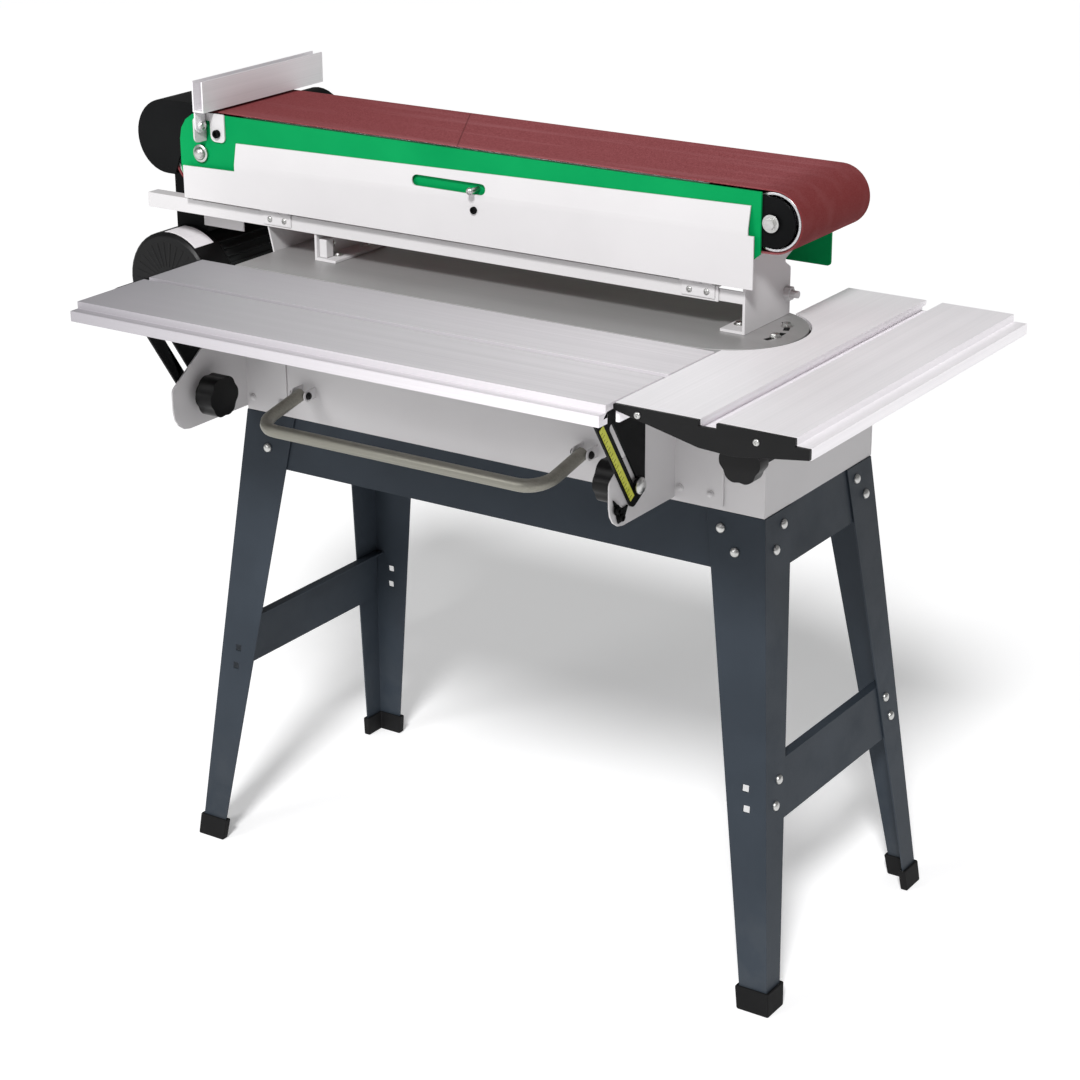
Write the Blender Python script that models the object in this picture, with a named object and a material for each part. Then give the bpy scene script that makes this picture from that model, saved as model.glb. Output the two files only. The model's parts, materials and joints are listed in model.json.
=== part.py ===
"""A long-belt edge sander on a folded-sheet stand, modelled as separate pieces.

Metres, +Z up.  The origin is on the floor under the middle of the stand; +X runs along the
belt towards the idler roller and -Y faces the operator.
"""

import math

import bmesh
import bpy

# ---- driving dimensions -------------------------------------------------------------------
FIT = 0.0003  # gap between pieces that touch
SHEET = 0.002  # folded sheet steel
RUNNING = 0.00008  # radial clearance of a shaft in its bore

STAND_TOP = 0.5715  # height of the stand
STAND_HALF_LENGTH = 0.364  # outer corners of the legs at the top
STAND_HALF_WIDTH = 0.127
FOOT_HALF_LENGTH = 0.4185  # outer corners of the legs at the floor
FOOT_HALF_WIDTH = 0.1935
LEG_FLANGE_TOP = (0.074, 0.060)  # along X, along Y
LEG_FLANGE_FLOOR = (0.034, 0.030)
RAIL_HEIGHT = 0.067
RAIL_FLANGE = 0.025
BRACE_TOP = 0.286
BRACE_HEIGHT = 0.070
BRACE_FLANGE = 0.012
SOLE = 0.010  # rubber under each leg
SHOE_HEIGHT = 0.028
SHOE_WALL = 0.0035
SPARE_HOLE = 0.0085  # unused square holes, for braces along the front
SPARE_HOLE_PITCH = 0.024
SPARE_HOLE_HEIGHT = 0.238

CABINET_HALF_LENGTH = 0.363
CABINET_HALF_WIDTH = STAND_HALF_WIDTH
CABINET_TOP = 0.7932
CABINET_STEP = -0.267  # the tall part starts here, to clear the motor
CABINET_STEP_TOP = 0.665
TOWER_BACK = -0.080  # back of the tall part, under the base plate
BRACKET_FLANGE = 0.064  # flange of a table bracket on the cabinet's face
BRACKET_REACH = 0.138  # how far a table bracket stands out in front
BRACKET_LOW = 0.577
BRACKET_TOP = 0.690
RIGHT_BRACKET = 0.248  # left face of the right table bracket

TABLE_TOP = 0.796
TABLE_DEPTH = 0.020  # from the top to the foot of the skirts
TABLE_PLATE = 0.008
TABLE_LEFT = -0.314
TABLE_RIGHT = 0.369
TABLE_BACK = -0.254
TABLE_WIDTH = 0.209
LIP = 0.012  # step along the front edge
LIP_DROP = 0.008
MITRE_SLOT = -0.350
MITRE_SLOT_WIDTH = 0.009
T_SLOT_WIDTH = 0.021
SLIDE_LEAN = math.radians(33.2)  # the table's guides lean forward by this
TABLE_TRAVEL = 0.095
ARM = 0.003
ARM_GUIDE = (-0.214, 0.617)  # axis of both clamping studs
STUD = 0.004
SCALE_WIDTH = 0.009
SCALE_EDGE = 0.0112  # from the studs' line to the scale
SCALE_ENDS = (-0.004, 0.112)

BASE_PLATE = 0.0025
BASE_LEFT = -0.2665
BASE_TIP = 0.420
BASE_FRONT = -0.2515
BASE_BACK = -0.080

END_LEFT = 0.372
END_WIDTH = 0.1975
END_FRONT = -0.449
END_BACK = 0.037
END_LIP = 0.0155
END_SLOT_MIDDLE = 0.476
END_SLOT_WIDTH = 0.019
END_NOTCH_GAP = 0.0028
CAP_DEPTH = 0.0042

TILT_Y = -0.193  # hinge line of the head
TILT_Z = 0.849
KNUCKLE = 0.003
HINGE_PIN = 0.0012
HINGE_LENGTH = 0.040
HINGES = (-0.2515, 0.3115)  # middles of the two hinges
RAIL_LEFT = -0.450
RAIL_RIGHT = 0.335
RAIL_LOW = 0.828
RAIL_TOP = 0.8455
RAIL_LEDGE = 0.016  # flange along the rail's top

BELT_FRONT = -0.187
BELT_WIDTH = 0.150
BELT = 0.0015
BELT_TOP = 0.954
DRIVE_X = -0.359
DRIVE_RADIUS = 0.0485
IDLER_X = 0.397
IDLER_RADIUS = 0.032
SHAFT = 0.010
AXLE = 0.0055
FRAME_PLATE = 0.0025
FRAME_RIGHT = 0.385
FRAME_TOP = 0.9515

MOTOR_X = -0.4285
MOTOR_Z = 0.735
MOTOR_RADIUS = 0.056
COWL_RADIUS = 0.062
MOTOR_FRONT = -0.186
COWL_LENGTH = 0.048
MOTOR_LENGTH = 0.174
PULLEY_MIDDLE = 0.014
PULLEY_WIDTH = 0.018
DRUM_PULLEY = 0.0305
MOTOR_PULLEY = 0.0245
V_BELT = 0.004
V_BELT_WIDTH = 0.0084
PULLEY_RIM = 0.0045

FENCE_X = -0.334  # face of the fence
FENCE_WIDTH = 0.016
FENCE_HEIGHT = 0.036
FENCE_LOW = BELT_TOP + 0.003
FENCE_FRONT = -0.215
FENCE_LENGTH = 0.223
FENCE_PIVOT = (-0.205, 0.940)
FENCE_PIN = 0.003

BAIL_LEFT = -0.266
BAIL_RIGHT = 0.137
BAIL_TUBE = 0.008
BAIL_PIVOT = (-0.1425, 0.6105)
BAIL_BAR = (-0.228, 0.593)
BAIL_BEND = 0.030
BAIL_PIN = 0.003

KNOB_RADIUS = 0.0225
KNOB_DEPTH = 0.017
CLAMP_KNOB_RADIUS = 0.0255
CLAMP_KNOB_DEPTH = 0.024
CLAMP_HUB_LENGTH = 0.012
KNOB_HUB = 0.011

SWITCH_X = 0.240
SWITCH_Z = 0.6185
SWITCH_SIZE = (0.062, 0.042, 0.086)
BUTTON_PITCH = 0.044
BUTTON_RADIUS = 0.011
BUTTON_PROUD = 0.005
BUTTON_TRAVEL = 0.003
BUTTON_WELL = 0.012
GLAND = (0.009, 0.005, 0.014)  # radius, bore, length

ROUND = 24  # sides of a small round piece
WIDE_ROUND = 40  # sides of a drum or a motor

# ---- worked-out sizes ----------------------------------------------------------------------
SLIDE = (-math.sin(SLIDE_LEAN), math.cos(SLIDE_LEAN))  # up the table's guides, in YZ
ACROSS = (-SLIDE[1], SLIDE[0])  # forward and down, at right angles to the guides
DRIVE_Z = BELT_TOP - BELT - DRIVE_RADIUS
IDLER_Z = BELT_TOP - BELT - IDLER_RADIUS
BELT_BACK = BELT_FRONT + BELT_WIDTH
PLATE_FRONT = BELT_FRONT - 0.003 - FRAME_PLATE  # outer face of the green front plate
REAR_PLATE = BELT_BACK + 0.0025  # inner face of the rear plate
TABLE_LOW = TABLE_TOP - TABLE_DEPTH
TABLE_FRONT = TABLE_BACK - TABLE_WIDTH
BASE_TOP = CABINET_TOP + FIT + BASE_PLATE
CABINET_FRONT = -CABINET_HALF_WIDTH
MOTOR_BACK = MOTOR_FRONT + MOTOR_LENGTH

# ---- finishes ------------------------------------------------------------------------------
FINISHES = {
    "slate_paint": ((0.048, 0.060, 0.075), 0.5, 0.0),
    "white_paint": ((0.78, 0.78, 0.79), 0.4, 0.0),
    "green_paint": ((0.0, 0.27, 0.075), 0.4, 0.0),
    "black_paint": ((0.008, 0.008, 0.009), 0.45, 0.0),
    "black_plastic": ((0.010, 0.010, 0.011), 0.4, 0.0),
    "black_rubber": ((0.012, 0.012, 0.013), 0.8, 0.0),
    "aluminium": ((0.53, 0.52, 0.53), 0.35, 1.0),
    "pale_aluminium": ((0.80, 0.79, 0.79), 0.35, 1.0),
    "zinc_plate": ((0.55, 0.55, 0.56), 0.3, 1.0),
    "bright_steel": ((0.62, 0.62, 0.63), 0.15, 1.0),
    "grey_steel": ((0.24, 0.24, 0.235), 0.45, 1.0),
    "tube_steel": ((0.26, 0.25, 0.20), 0.35, 1.0),
    "motor_grey": ((0.030, 0.031, 0.030), 0.5, 0.0),
    "abrasive": ((0.27, 0.055, 0.062), 0.9, 0.0),
    "scale_yellow": ((0.60, 0.62, 0.05), 0.5, 0.0),
    "go_green": ((0.01, 0.35, 0.05), 0.35, 0.0),
    "stop_red": ((0.55, 0.01, 0.01), 0.35, 0.0),
}


def finish(name):
    """The material of this name, made the first time that it is asked for."""
    found = bpy.data.materials.get(name)
    if found:
        return found
    colour, roughness, metallic = FINISHES[name]
    made = bpy.data.materials.new(name)
    made.use_nodes = True
    shader = made.node_tree.nodes["Principled BSDF"]
    shader.inputs["Base Color"].default_value = (*colour, 1.0)
    shader.inputs["Roughness"].default_value = roughness
    shader.inputs["Metallic"].default_value = metallic
    return made


# ---- modelling helpers ---------------------------------------------------------------------
def add(name, bm, paint=None):
    """Turns a bmesh into an object with its faces pointing out."""
    bmesh.ops.recalc_face_normals(bm, faces=bm.faces)
    mesh = bpy.data.meshes.new(name)
    bm.to_mesh(mesh)
    bm.free()
    obj = bpy.data.objects.new(name, mesh)
    bpy.context.scene.collection.objects.link(obj)
    if paint:
        mesh.materials.append(finish(paint))
    mesh.shade_smooth()
    mesh.set_sharp_from_angle(angle=math.radians(35))
    return obj


def loft(name, rings, paint=None, closed=False):
    """Skins rings of points that all have the same count, with flat ends unless it is closed."""
    bm = bmesh.new()
    rows = [[bm.verts.new(point) for point in ring] for ring in rings]
    pairs = list(zip(rows, rows[1:]))
    if closed:
        pairs.append((rows[-1], rows[0]))
    for low, high in pairs:
        for i in range(len(low)):
            j = (i + 1) % len(low)
            bm.faces.new((low[i], low[j], high[j], high[i]))
    if not closed:
        bm.faces.new(rows[0])
        bm.faces.new(rows[-1])
    return add(name, bm, paint)


def on_axis(axis, u, v, along):
    """A point from its two plane coordinates and its place along the axis."""
    return {"x": (along, u, v), "y": (u, along, v), "z": (u, v, along)}[axis]


def prism(name, outline, axis, low, high, paint=None):
    """An outline drawn across the axis, extruded from low to high."""
    rings = [[on_axis(axis, u, v, at) for u, v in outline] for at in (low, high)]
    return loft(name, rings, paint)


def box(name, low, high, paint=None):
    corners = [(low[0], low[1]), (high[0], low[1]), (high[0], high[1]), (low[0], high[1])]
    return prism(name, corners, "z", low[2], high[2], paint)


def arc(centre, radius, start, end, steps):
    """Points on a circle from one angle to another, in degrees."""
    angles = [math.radians(start + (end - start) * i / steps) for i in range(steps + 1)]
    return [(centre[0] + radius * math.cos(a), centre[1] + radius * math.sin(a)) for a in angles]


def circle(centre, radius, sides=ROUND):
    return arc(centre, radius, 0, 360, sides)[:-1]


def rod(name, axis, centre, radius, low, high, paint=None, sides=ROUND):
    return prism(name, circle(centre, radius, sides), axis, low, high, paint)


def turned(name, axis, centre, profile, paint=None, sides=WIDE_ROUND):
    """A closed profile of (radius, place along the axis) spun once round the axis."""
    rings = []
    for k in range(sides):
        a = 2 * math.pi * k / sides
        ring = []
        for radius, along in profile:
            u = centre[0] + radius * math.cos(a)
            v = centre[1] + radius * math.sin(a)
            ring.append(on_axis(axis, u, v, along))
        rings.append(ring)
    return loft(name, rings, paint, closed=True)


def rounded(corners, radii, steps=4):
    """An outline whose corners are filleted; a radius of 0 keeps a corner sharp."""
    points = []
    count = len(corners)
    for i, corner in enumerate(corners):
        radius = radii[i] if isinstance(radii, (list, tuple)) else radii
        if radius == 0:
            points.append(corner)
            continue
        before, after = corners[i - 1], corners[(i + 1) % count]
        a = math.atan2(before[1] - corner[1], before[0] - corner[0])
        b = math.atan2(after[1] - corner[1], after[0] - corner[0])
        half = (b - a + math.pi) % (2 * math.pi) - math.pi
        reach = radius / math.tan(abs(half) / 2)
        away = radius / math.sin(abs(half) / 2)
        middle = a + half / 2
        cx = corner[0] + away * math.cos(middle)
        cy = corner[1] + away * math.sin(middle)
        start = (corner[0] + reach * math.cos(a), corner[1] + reach * math.sin(a))
        end = (corner[0] + reach * math.cos(b), corner[1] + reach * math.sin(b))
        first = math.atan2(start[1] - cy, start[0] - cx)
        turn = math.atan2(end[1] - cy, end[0] - cx) - first
        turn = (turn + math.pi) % (2 * math.pi) - math.pi
        for k in range(steps + 1):
            angle = first + turn * k / steps
            points.append((cx + radius * math.cos(angle), cy + radius * math.sin(angle)))
    return points


def folded(path, thickness):
    """The outline of a folded sheet: the path, and the same path moved left by the thickness."""
    normals = []
    for (ax, ay), (bx, by) in zip(path, path[1:]):
        length = math.hypot(bx - ax, by - ay)
        normals.append((-(by - ay) / length, (bx - ax) / length))
    inner = []
    for i, (x, y) in enumerate(path):
        first = normals[max(i - 1, 0)]
        second = normals[min(i, len(normals) - 1)]
        mx, my = first[0] + second[0], first[1] + second[1]
        scale = 2 * thickness / (mx * mx + my * my)
        inner.append((x + mx * scale, y + my * scale))
    return list(path) + inner[::-1]


def wrapped(centre_a, radius_a, centre_b, radius_b, steps=16):
    """The outline of a belt round two circles."""
    dx, dy = centre_b[0] - centre_a[0], centre_b[1] - centre_a[1]
    heading = math.degrees(math.atan2(dy, dx))
    lean = math.degrees(math.acos((radius_a - radius_b) / math.hypot(dx, dy)))
    first = arc(centre_a, radius_a, heading + lean, heading + 360 - lean, steps)
    second = arc(centre_b, radius_b, heading - lean, heading + lean, steps)
    return first + second


def band(name, outer, inner, axis, low, high, paint=None):
    """A ring between two outlines of equal point count."""
    bm = bmesh.new()
    rows = []
    for outline, at in ((outer, low), (outer, high), (inner, high), (inner, low)):
        rows.append([bm.verts.new(on_axis(axis, u, v, at)) for u, v in outline])
    for k, row in enumerate(rows):
        after = rows[(k + 1) % 4]
        for i in range(len(row)):
            j = (i + 1) % len(row)
            bm.faces.new((row[i], row[j], after[j], after[i]))
    return add(name, bm, paint)


def combine(target, tool, operation):
    change = target.modifiers.new(tool.name, "BOOLEAN")
    change.operation = operation
    change.solver = "EXACT"
    change.object = tool
    tool.hide_render = True
    tool.display_type = "WIRE"
    return target


def cut(target, *tools):
    for tool in tools:
        combine(target, tool, "DIFFERENCE")
    return target


def join(target, *tools):
    for tool in tools:
        combine(target, tool, "UNION")
    return target


def pivot(name, place, *pieces):
    """An empty on the joint's axis that carries the pieces which move with it."""
    empty = bpy.data.objects.new(name, None)
    empty.location = place
    bpy.context.scene.collection.objects.link(empty)
    bpy.context.view_layer.update()
    for piece in pieces:
        piece.parent = empty
        piece.matrix_parent_inverse = empty.matrix_world.inverted()
    return empty


# ---- stand ---------------------------------------------------------------------------------
def mix(low, high, share):
    return low + (high - low) * share


def leg_corner(height):
    """How far the legs' outer corner lies from the middle, along X and along Y."""
    share = height / STAND_TOP
    return (
        mix(FOOT_HALF_LENGTH, STAND_HALF_LENGTH, share),
        mix(FOOT_HALF_WIDTH, STAND_HALF_WIDTH, share),
    )


def leg_ring(side, end, height, grow=0.0):
    """The L-shaped section of a leg at a height, grown all round by a margin."""
    x, y = leg_corner(height)
    share = height / STAND_TOP
    wide = mix(LEG_FLANGE_FLOOR[0], LEG_FLANGE_TOP[0], share) + grow
    deep = mix(LEG_FLANGE_FLOOR[1], LEG_FLANGE_TOP[1], share) + grow
    wall = SHEET + grow
    section = [
        (x + grow, y + grow),
        (x - wide, y + grow),
        (x - wide, y - wall),
        (x - wall, y - wall),
        (x - wall, y - deep),
        (x + grow, y - deep),
    ]
    return [(side * u, end * v, height) for u, v in section]


def leg(name, side, end):
    made = loft(name, [leg_ring(side, end, z) for z in (SOLE + FIT, STAND_TOP)], "slate_paint")
    for k in range(2):
        height = SPARE_HOLE_HEIGHT + k * SPARE_HOLE_PITCH
        x, y = leg_corner(height)
        middle = side * (x - 0.5 * mix(LEG_FLANGE_FLOOR[0], LEG_FLANGE_TOP[0], height / STAND_TOP))
        half = SPARE_HOLE / 2
        low = (middle - half, end * y - 3 * SHEET, height - half)
        high = (middle + half, end * y + 3 * SHEET, height + half)
        cut(made, box(f"{name}_hole_{k}", low, high))
    return made


def shoe(name, side, end):
    """A rubber shoe with an L-shaped pocket for the end of a leg."""
    made = loft(name, [leg_ring(side, end, z, SHOE_WALL) for z in (0, SHOE_HEIGHT)], "black_rubber")
    pocket = [leg_ring(side, end, z, FIT) for z in (SOLE, SHOE_HEIGHT + 0.01)]
    return cut(made, loft(f"{name}_pocket", pocket))


def long_rail(name, end):
    """Front or back rail: a leaning web with a flange turned in along its top."""
    inset = SHEET + FIT
    low = STAND_TOP - RAIL_HEIGHT
    y_low = end * (leg_corner(low)[1] - inset)
    y_top = end * (leg_corner(STAND_TOP)[1] - inset)
    path = [(y_low, low), (y_top, STAND_TOP), (y_top - end * RAIL_FLANGE, STAND_TOP)]
    outline = folded(path, SHEET if end > 0 else -SHEET)
    half = STAND_HALF_LENGTH - SHEET - 2 * FIT
    return prism(name, outline, "x", -half, half, "slate_paint")


def end_rail(name, side):
    inset = SHEET + FIT
    low = STAND_TOP - RAIL_HEIGHT
    x_low = side * (leg_corner(low)[0] - inset)
    x_top = side * (leg_corner(STAND_TOP)[0] - inset)
    path = [(x_low, low), (x_top, STAND_TOP), (x_top - side * RAIL_FLANGE, STAND_TOP)]
    outline = folded(path, SHEET if side > 0 else -SHEET)
    half = STAND_HALF_WIDTH - inset - RAIL_FLANGE - 2 * FIT
    return prism(name, outline, "y", -half, half, "slate_paint")


def brace(name, side):
    inset = SHEET + FIT
    low = BRACE_TOP - BRACE_HEIGHT
    x_low = side * (leg_corner(low)[0] - inset)
    x_top = side * (leg_corner(BRACE_TOP)[0] - inset)
    path = [(x_low, low), (x_top, BRACE_TOP), (x_top - side * BRACE_FLANGE, BRACE_TOP)]
    outline = folded(path, SHEET if side > 0 else -SHEET)
    half = leg_corner(BRACE_TOP)[1] - inset - FIT
    return prism(name, outline, "y", -half, half, "slate_paint")


def stand():
    for end, front_or_back in ((-1, "front"), (1, "back")):
        for side, left_or_right in ((-1, "left"), (1, "right")):
            place = f"{front_or_back}_{left_or_right}"
            leg(f"leg_{place}", side, end)
            shoe(f"foot_{place}", side, end)
        long_rail(f"rail_{front_or_back}", end)
    for side, left_or_right in ((-1, "left"), (1, "right")):
        end_rail(f"rail_{left_or_right}", side)
        brace(f"brace_{left_or_right}", side)


# ---- cabinet -------------------------------------------------------------------------------
def cabinet_box(name, inset, front, grow, paint=None):
    """The low body of the cabinet, or its inside: inset all round and grown at the back and foot."""
    half = CABINET_HALF_LENGTH - inset
    low = (-half, front, STAND_TOP + FIT - grow)
    high = (half, CABINET_HALF_WIDTH + grow, CABINET_STEP_TOP - inset)
    return box(name, low, high, paint)


def tower_box(name, inset):
    """The tall narrow part that carries the base plate, or its inside."""
    low = (CABINET_STEP + inset, CABINET_FRONT + inset, CABINET_STEP_TOP - SHEET - 0.01)
    high = (CABINET_HALF_LENGTH - inset, TOWER_BACK - inset, CABINET_TOP - inset)
    return box(name, low, high)


LUG = 0.0024
LUG_GAP = 0.0006


def bail_lugs(shell):
    """Two pairs of small lugs that hold the bail's cross pins."""
    y, z = BAIL_PIVOT
    reach = BAIL_PIN + 0.004
    for k, middle in enumerate((BAIL_LEFT, BAIL_RIGHT)):
        for side in (-1, 1):
            near = middle + side * (BAIL_TUBE + LUG_GAP)
            far = near + side * LUG
            tip = arc((y, z), reach, 90, 270, 8)
            root = CABINET_FRONT + 0.001
            outline = [(root, z + reach)] + tip + [(root, z - reach)]
            low, high = min(near, far), max(near, far)
            join(shell, prism(f"lug_{k}_{side}", outline, "x", low, high))
        bore = BAIL_PIN + RUNNING
        cut(shell, rod(f"lug_bore_{k}", "x", (y, z), bore, middle - 0.02, middle + 0.02))


def cabinet():
    """A sheet shell, open below and behind, with the tall part along its front and a rear cover."""
    shell = cabinet_box("cabinet_shell", 0.0, CABINET_FRONT, 0.0, "white_paint")
    join(shell, tower_box("cabinet_tower", 0.0))
    cut(shell, cabinet_box("cabinet_inside", SHEET, CABINET_FRONT + SHEET, 0.01))
    cut(shell, tower_box("tower_inside", SHEET))
    bail_lugs(shell)
    near = CABINET_HALF_WIDTH + FIT
    low = (-CABINET_HALF_LENGTH, near, STAND_TOP + FIT)
    box("cabinet_rear_cover", low, (CABINET_HALF_LENGTH, near + SHEET, CABINET_STEP_TOP), "white_paint")


def bracket_outline():
    """The cheek of a table bracket, rounded at its low front corner and sloped to clear the table."""
    back = CABINET_FRONT - FIT
    front = back - BRACKET_REACH
    nose = 0.028
    corners = [
        (back, BRACKET_LOW),
        (front, BRACKET_LOW),
        (front, BRACKET_LOW + 0.055),
        (front + 0.0845, BRACKET_TOP),
        (back, BRACKET_TOP),
    ]
    return rounded(corners, [0, nose, 0.008, 0.012, 0])


def table_bracket(name, face):
    """A cheek standing out in front, with a flange flat on the cabinet."""
    back = CABINET_FRONT - FIT
    cheek = prism(name, bracket_outline(), "x", face, face + SHEET, "white_paint")
    low = (face, back - SHEET, BRACKET_LOW)
    high = (face + BRACKET_FLANGE, back, BRACKET_TOP)
    join(cheek, box(f"{name}_flange", low, high))
    bore = STUD + RUNNING
    return cut(cheek, rod(f"{name}_bore", "x", ARM_GUIDE, bore, face - 0.01, face + 0.01))


def base_plate():
    """The plate under the belt; its right end is a half circle."""
    radius = (BASE_BACK - BASE_FRONT) / 2
    middle = (BASE_BACK + BASE_FRONT) / 2
    tip = arc((BASE_TIP - radius, middle), radius, -90, 90, 20)
    outline = [(BASE_LEFT, BASE_FRONT)] + tip + [(BASE_LEFT, BASE_BACK)]
    prism("base_plate", outline, "z", CABINET_TOP + FIT, BASE_TOP, "grey_steel")


def switch_box():
    """Box on the rear cover with wells for two buttons, and a cable gland underneath."""
    wide, deep, tall = SWITCH_SIZE
    back = CABINET_HALF_WIDTH + 2 * FIT + SHEET
    low = (SWITCH_X - wide / 2, back, SWITCH_Z - tall / 2)
    high = (SWITCH_X + wide / 2, back + deep, SWITCH_Z + tall / 2)
    case = box("switch_box", low, high, "black_plastic")
    face = back + deep
    gland = (SWITCH_X, back + deep / 2)
    radius, bore, length = GLAND
    join(case, rod("gland", "z", gland, radius, low[2] - length, low[2] + 0.002))
    cut(case, rod("gland_bore", "z", gland, bore, low[2] - 2 * length, low[2] + length))
    rows = (("start_button", 0.5, "go_green"), ("stop_button", -0.5, "stop_red"))
    for name, row, paint in rows:
        centre = (SWITCH_X, SWITCH_Z + row * BUTTON_PITCH)
        floor = face - BUTTON_WELL
        cut(case, rod(f"{name}_well", "y", centre, BUTTON_RADIUS + FIT, floor, face + 0.01))
        low_end = floor + BUTTON_TRAVEL + FIT
        button = rod(name, "y", centre, BUTTON_RADIUS, low_end, face + BUTTON_PROUD, paint)
        pivot(f"{name}_slide", (centre[0], face, centre[1]), button)


# ---- head supports -------------------------------------------------------------------------
FOOT_LENGTH = 0.028
SUPPORT = 0.003
SUPPORT_FRONT = -0.1870
SUPPORT_BACK = -0.089
RIGHT_SUPPORT = 0.363
LEFT_SUPPORT = -0.2005
EAR = (0.829, 0.842)  # lowest and highest edge of the ear behind the rail


EAR_LENGTH = 0.060
STOP = (-0.098, 0.821)  # axis of the stop bolt that the lowered head rests by
STOP_BOLT = 0.004
STOP_NUT = 0.008
NOTCH_Z = 0.848  # foot of the notch in the right bracket's back edge
RIGHT_TOP = 0.880
RAIL_BRACKET_FOOT = (-0.150, -0.075)  # front and back of its lower end


def head_bracket(name, outline, face, inward):
    """An upright web with a foot on the base plate and an ear behind the hinge rail."""
    floor = BASE_TOP + FIT
    web = prism(name, outline, "x", face, face + SUPPORT, "white_paint")
    start = face + SUPPORT / 2
    foot = sorted((start, start + inward * FOOT_LENGTH))
    low, high = (foot[0], SUPPORT_FRONT, floor), (foot[1], SUPPORT_BACK, floor + SUPPORT)
    join(web, box(f"{name}_foot", low, high))
    ear = sorted((start, start + inward * EAR_LENGTH))
    low, high = (ear[0], SUPPORT_FRONT, EAR[0]), (ear[1], SUPPORT_FRONT + SHEET, EAR[1])
    return join(web, box(f"{name}_ear", low, high))


def head_supports():
    """Brackets that carry the hinge rail and the lowered head."""
    floor = BASE_TOP + FIT
    lobe = SUPPORT_BACK + 0.006
    corners = [
        (SUPPORT_FRONT, floor),
        (SUPPORT_BACK, floor),
        (SUPPORT_BACK, NOTCH_Z),
        (SUPPORT_BACK - 0.016, NOTCH_Z + 0.010),
        (lobe, NOTCH_Z + 0.018),
        (lobe, RIGHT_TOP),
        (SUPPORT_FRONT, RIGHT_TOP),
    ]
    outline = rounded(corners, [0, 0, 0.003, 0.003, 0.002, 0, 0])
    right = head_bracket("head_bracket_right", outline, RIGHT_SUPPORT, -1)
    near, far = RIGHT_SUPPORT - 0.008, RIGHT_SUPPORT + 0.018
    bolt = rod("stop_bolt", "x", STOP, STOP_BOLT, near, far)
    near, far = RIGHT_SUPPORT + 0.001, RIGHT_SUPPORT + 0.010
    join(right, bolt, rod("stop_nut", "x", STOP, STOP_NUT, near, far, sides=6))
    corners = [
        (SUPPORT_FRONT, floor),
        (SUPPORT_BACK, floor),
        (SUPPORT_BACK, EAR[1]),
        (SUPPORT_FRONT, EAR[1]),
    ]
    head_bracket("head_bracket_left", rounded(corners, [0, 0, 0.012, 0]), LEFT_SUPPORT, 1)
    rail_bracket()


def rail_bracket():
    """A plate on the side of the cabinet's tall part that steadies the left half of the rail."""
    front, back = RAIL_BRACKET_FOOT
    low = CABINET_STEP_TOP + 2 * FIT
    corners = [
        (back, low),
        (back, NOTCH_Z - 0.030),
        (back - 0.040, EAR[1]),
        (SUPPORT_FRONT, EAR[1]),
        (SUPPORT_FRONT, RAIL_LOW - 0.002),
        (front, low + 0.022),
        (front, low),
    ]
    face = CABINET_STEP - FIT
    prism("rail_bracket", corners, "x", face - SHEET, face, "white_paint")


def hinge_rail():
    """The white rail in front of the supports; the hinges' lower leaves are screwed to it."""
    face = SUPPORT_FRONT - FIT
    front = face - SHEET
    path = [(front, RAIL_LOW), (front, RAIL_TOP), (face + RAIL_LEDGE, RAIL_TOP)]
    outline = folded(path, -SHEET)
    prism("hinge_rail", outline, "x", RAIL_LEFT, RAIL_RIGHT, "white_paint")
    return front


def hinge_ring(radius):
    return circle((TILT_Y, TILT_Z), radius, 16)


LEAF = 0.0013
LEAF_HEIGHT = 0.014


def hinge(name, middle, rail_face, panel_back):
    """A butt hinge: two knuckles and the pin on the lower leaf, one knuckle on the upper."""
    third = HINGE_LENGTH / 3
    left, right = middle - HINGE_LENGTH / 2, middle + HINGE_LENGTH / 2
    back = rail_face - FIT
    front = back - LEAF
    low, high = (left, front, RAIL_LOW + 0.003), (right, back, RAIL_TOP - 0.0005)
    lower = box(f"{name}_lower_leaf", low, high, "white_paint")
    for k, start in enumerate((left, right - third)):
        end = start + third
        strap = box(f"{name}_strap_{k}", (start, front, RAIL_TOP - 0.001), (end, back, TILT_Z))
        join(lower, strap, prism(f"{name}_knuckle_{k}", hinge_ring(KNUCKLE), "x", start, end))
    join(lower, prism(f"{name}_pin", hinge_ring(HINGE_PIN), "x", left + 0.001, right - 0.001))
    front = panel_back + FIT
    low = TILT_Z + KNUCKLE + 2 * FIT
    high = (right, front + LEAF, low + LEAF_HEIGHT)
    upper = box(f"{name}_upper_leaf", (left, front, low), high, "white_paint")
    start, end = left + third + 2 * FIT, right - third - 2 * FIT
    strap = box(f"{name}_upper_strap", (start, front, TILT_Z - 0.001), (end, TILT_Y, low + 0.001))
    join(upper, strap, prism(f"{name}_upper_knuckle", hinge_ring(KNUCKLE), "x", start, end))
    ring = hinge_ring(HINGE_PIN + RUNNING)
    cut(upper, prism(f"{name}_pin_bore", ring, "x", left - 0.01, right + 0.01))
    return upper


# ---- head ----------------------------------------------------------------------------------
CENTRE_RISE = (IDLER_Z - DRIVE_Z) / (IDLER_X - DRIVE_X)  # slope of the line between the drums


def beside_centres(x, offset):
    """Height of a point that lies a set distance from the line between the drums' middles."""
    return DRIVE_Z + (x - DRIVE_X) * CENTRE_RISE + offset


PANEL_FRONT = PLATE_FRONT - 0.0073
PANEL_BACK = PANEL_FRONT + SHEET


def head_plate(name, outline, front):
    """A side plate of the head, bored for the drive drum's shaft."""
    back = front + FRAME_PLATE
    plate = prism(name, outline, "y", front, back, "green_paint")
    centre, bore = (DRIVE_X, DRIVE_Z), SHAFT + RUNNING
    low, high = front - 0.01, back + 0.01
    return cut(plate, rod(f"{name}_bore", "y", centre, bore, low, high, sides=WIDE_ROUND))


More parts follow.
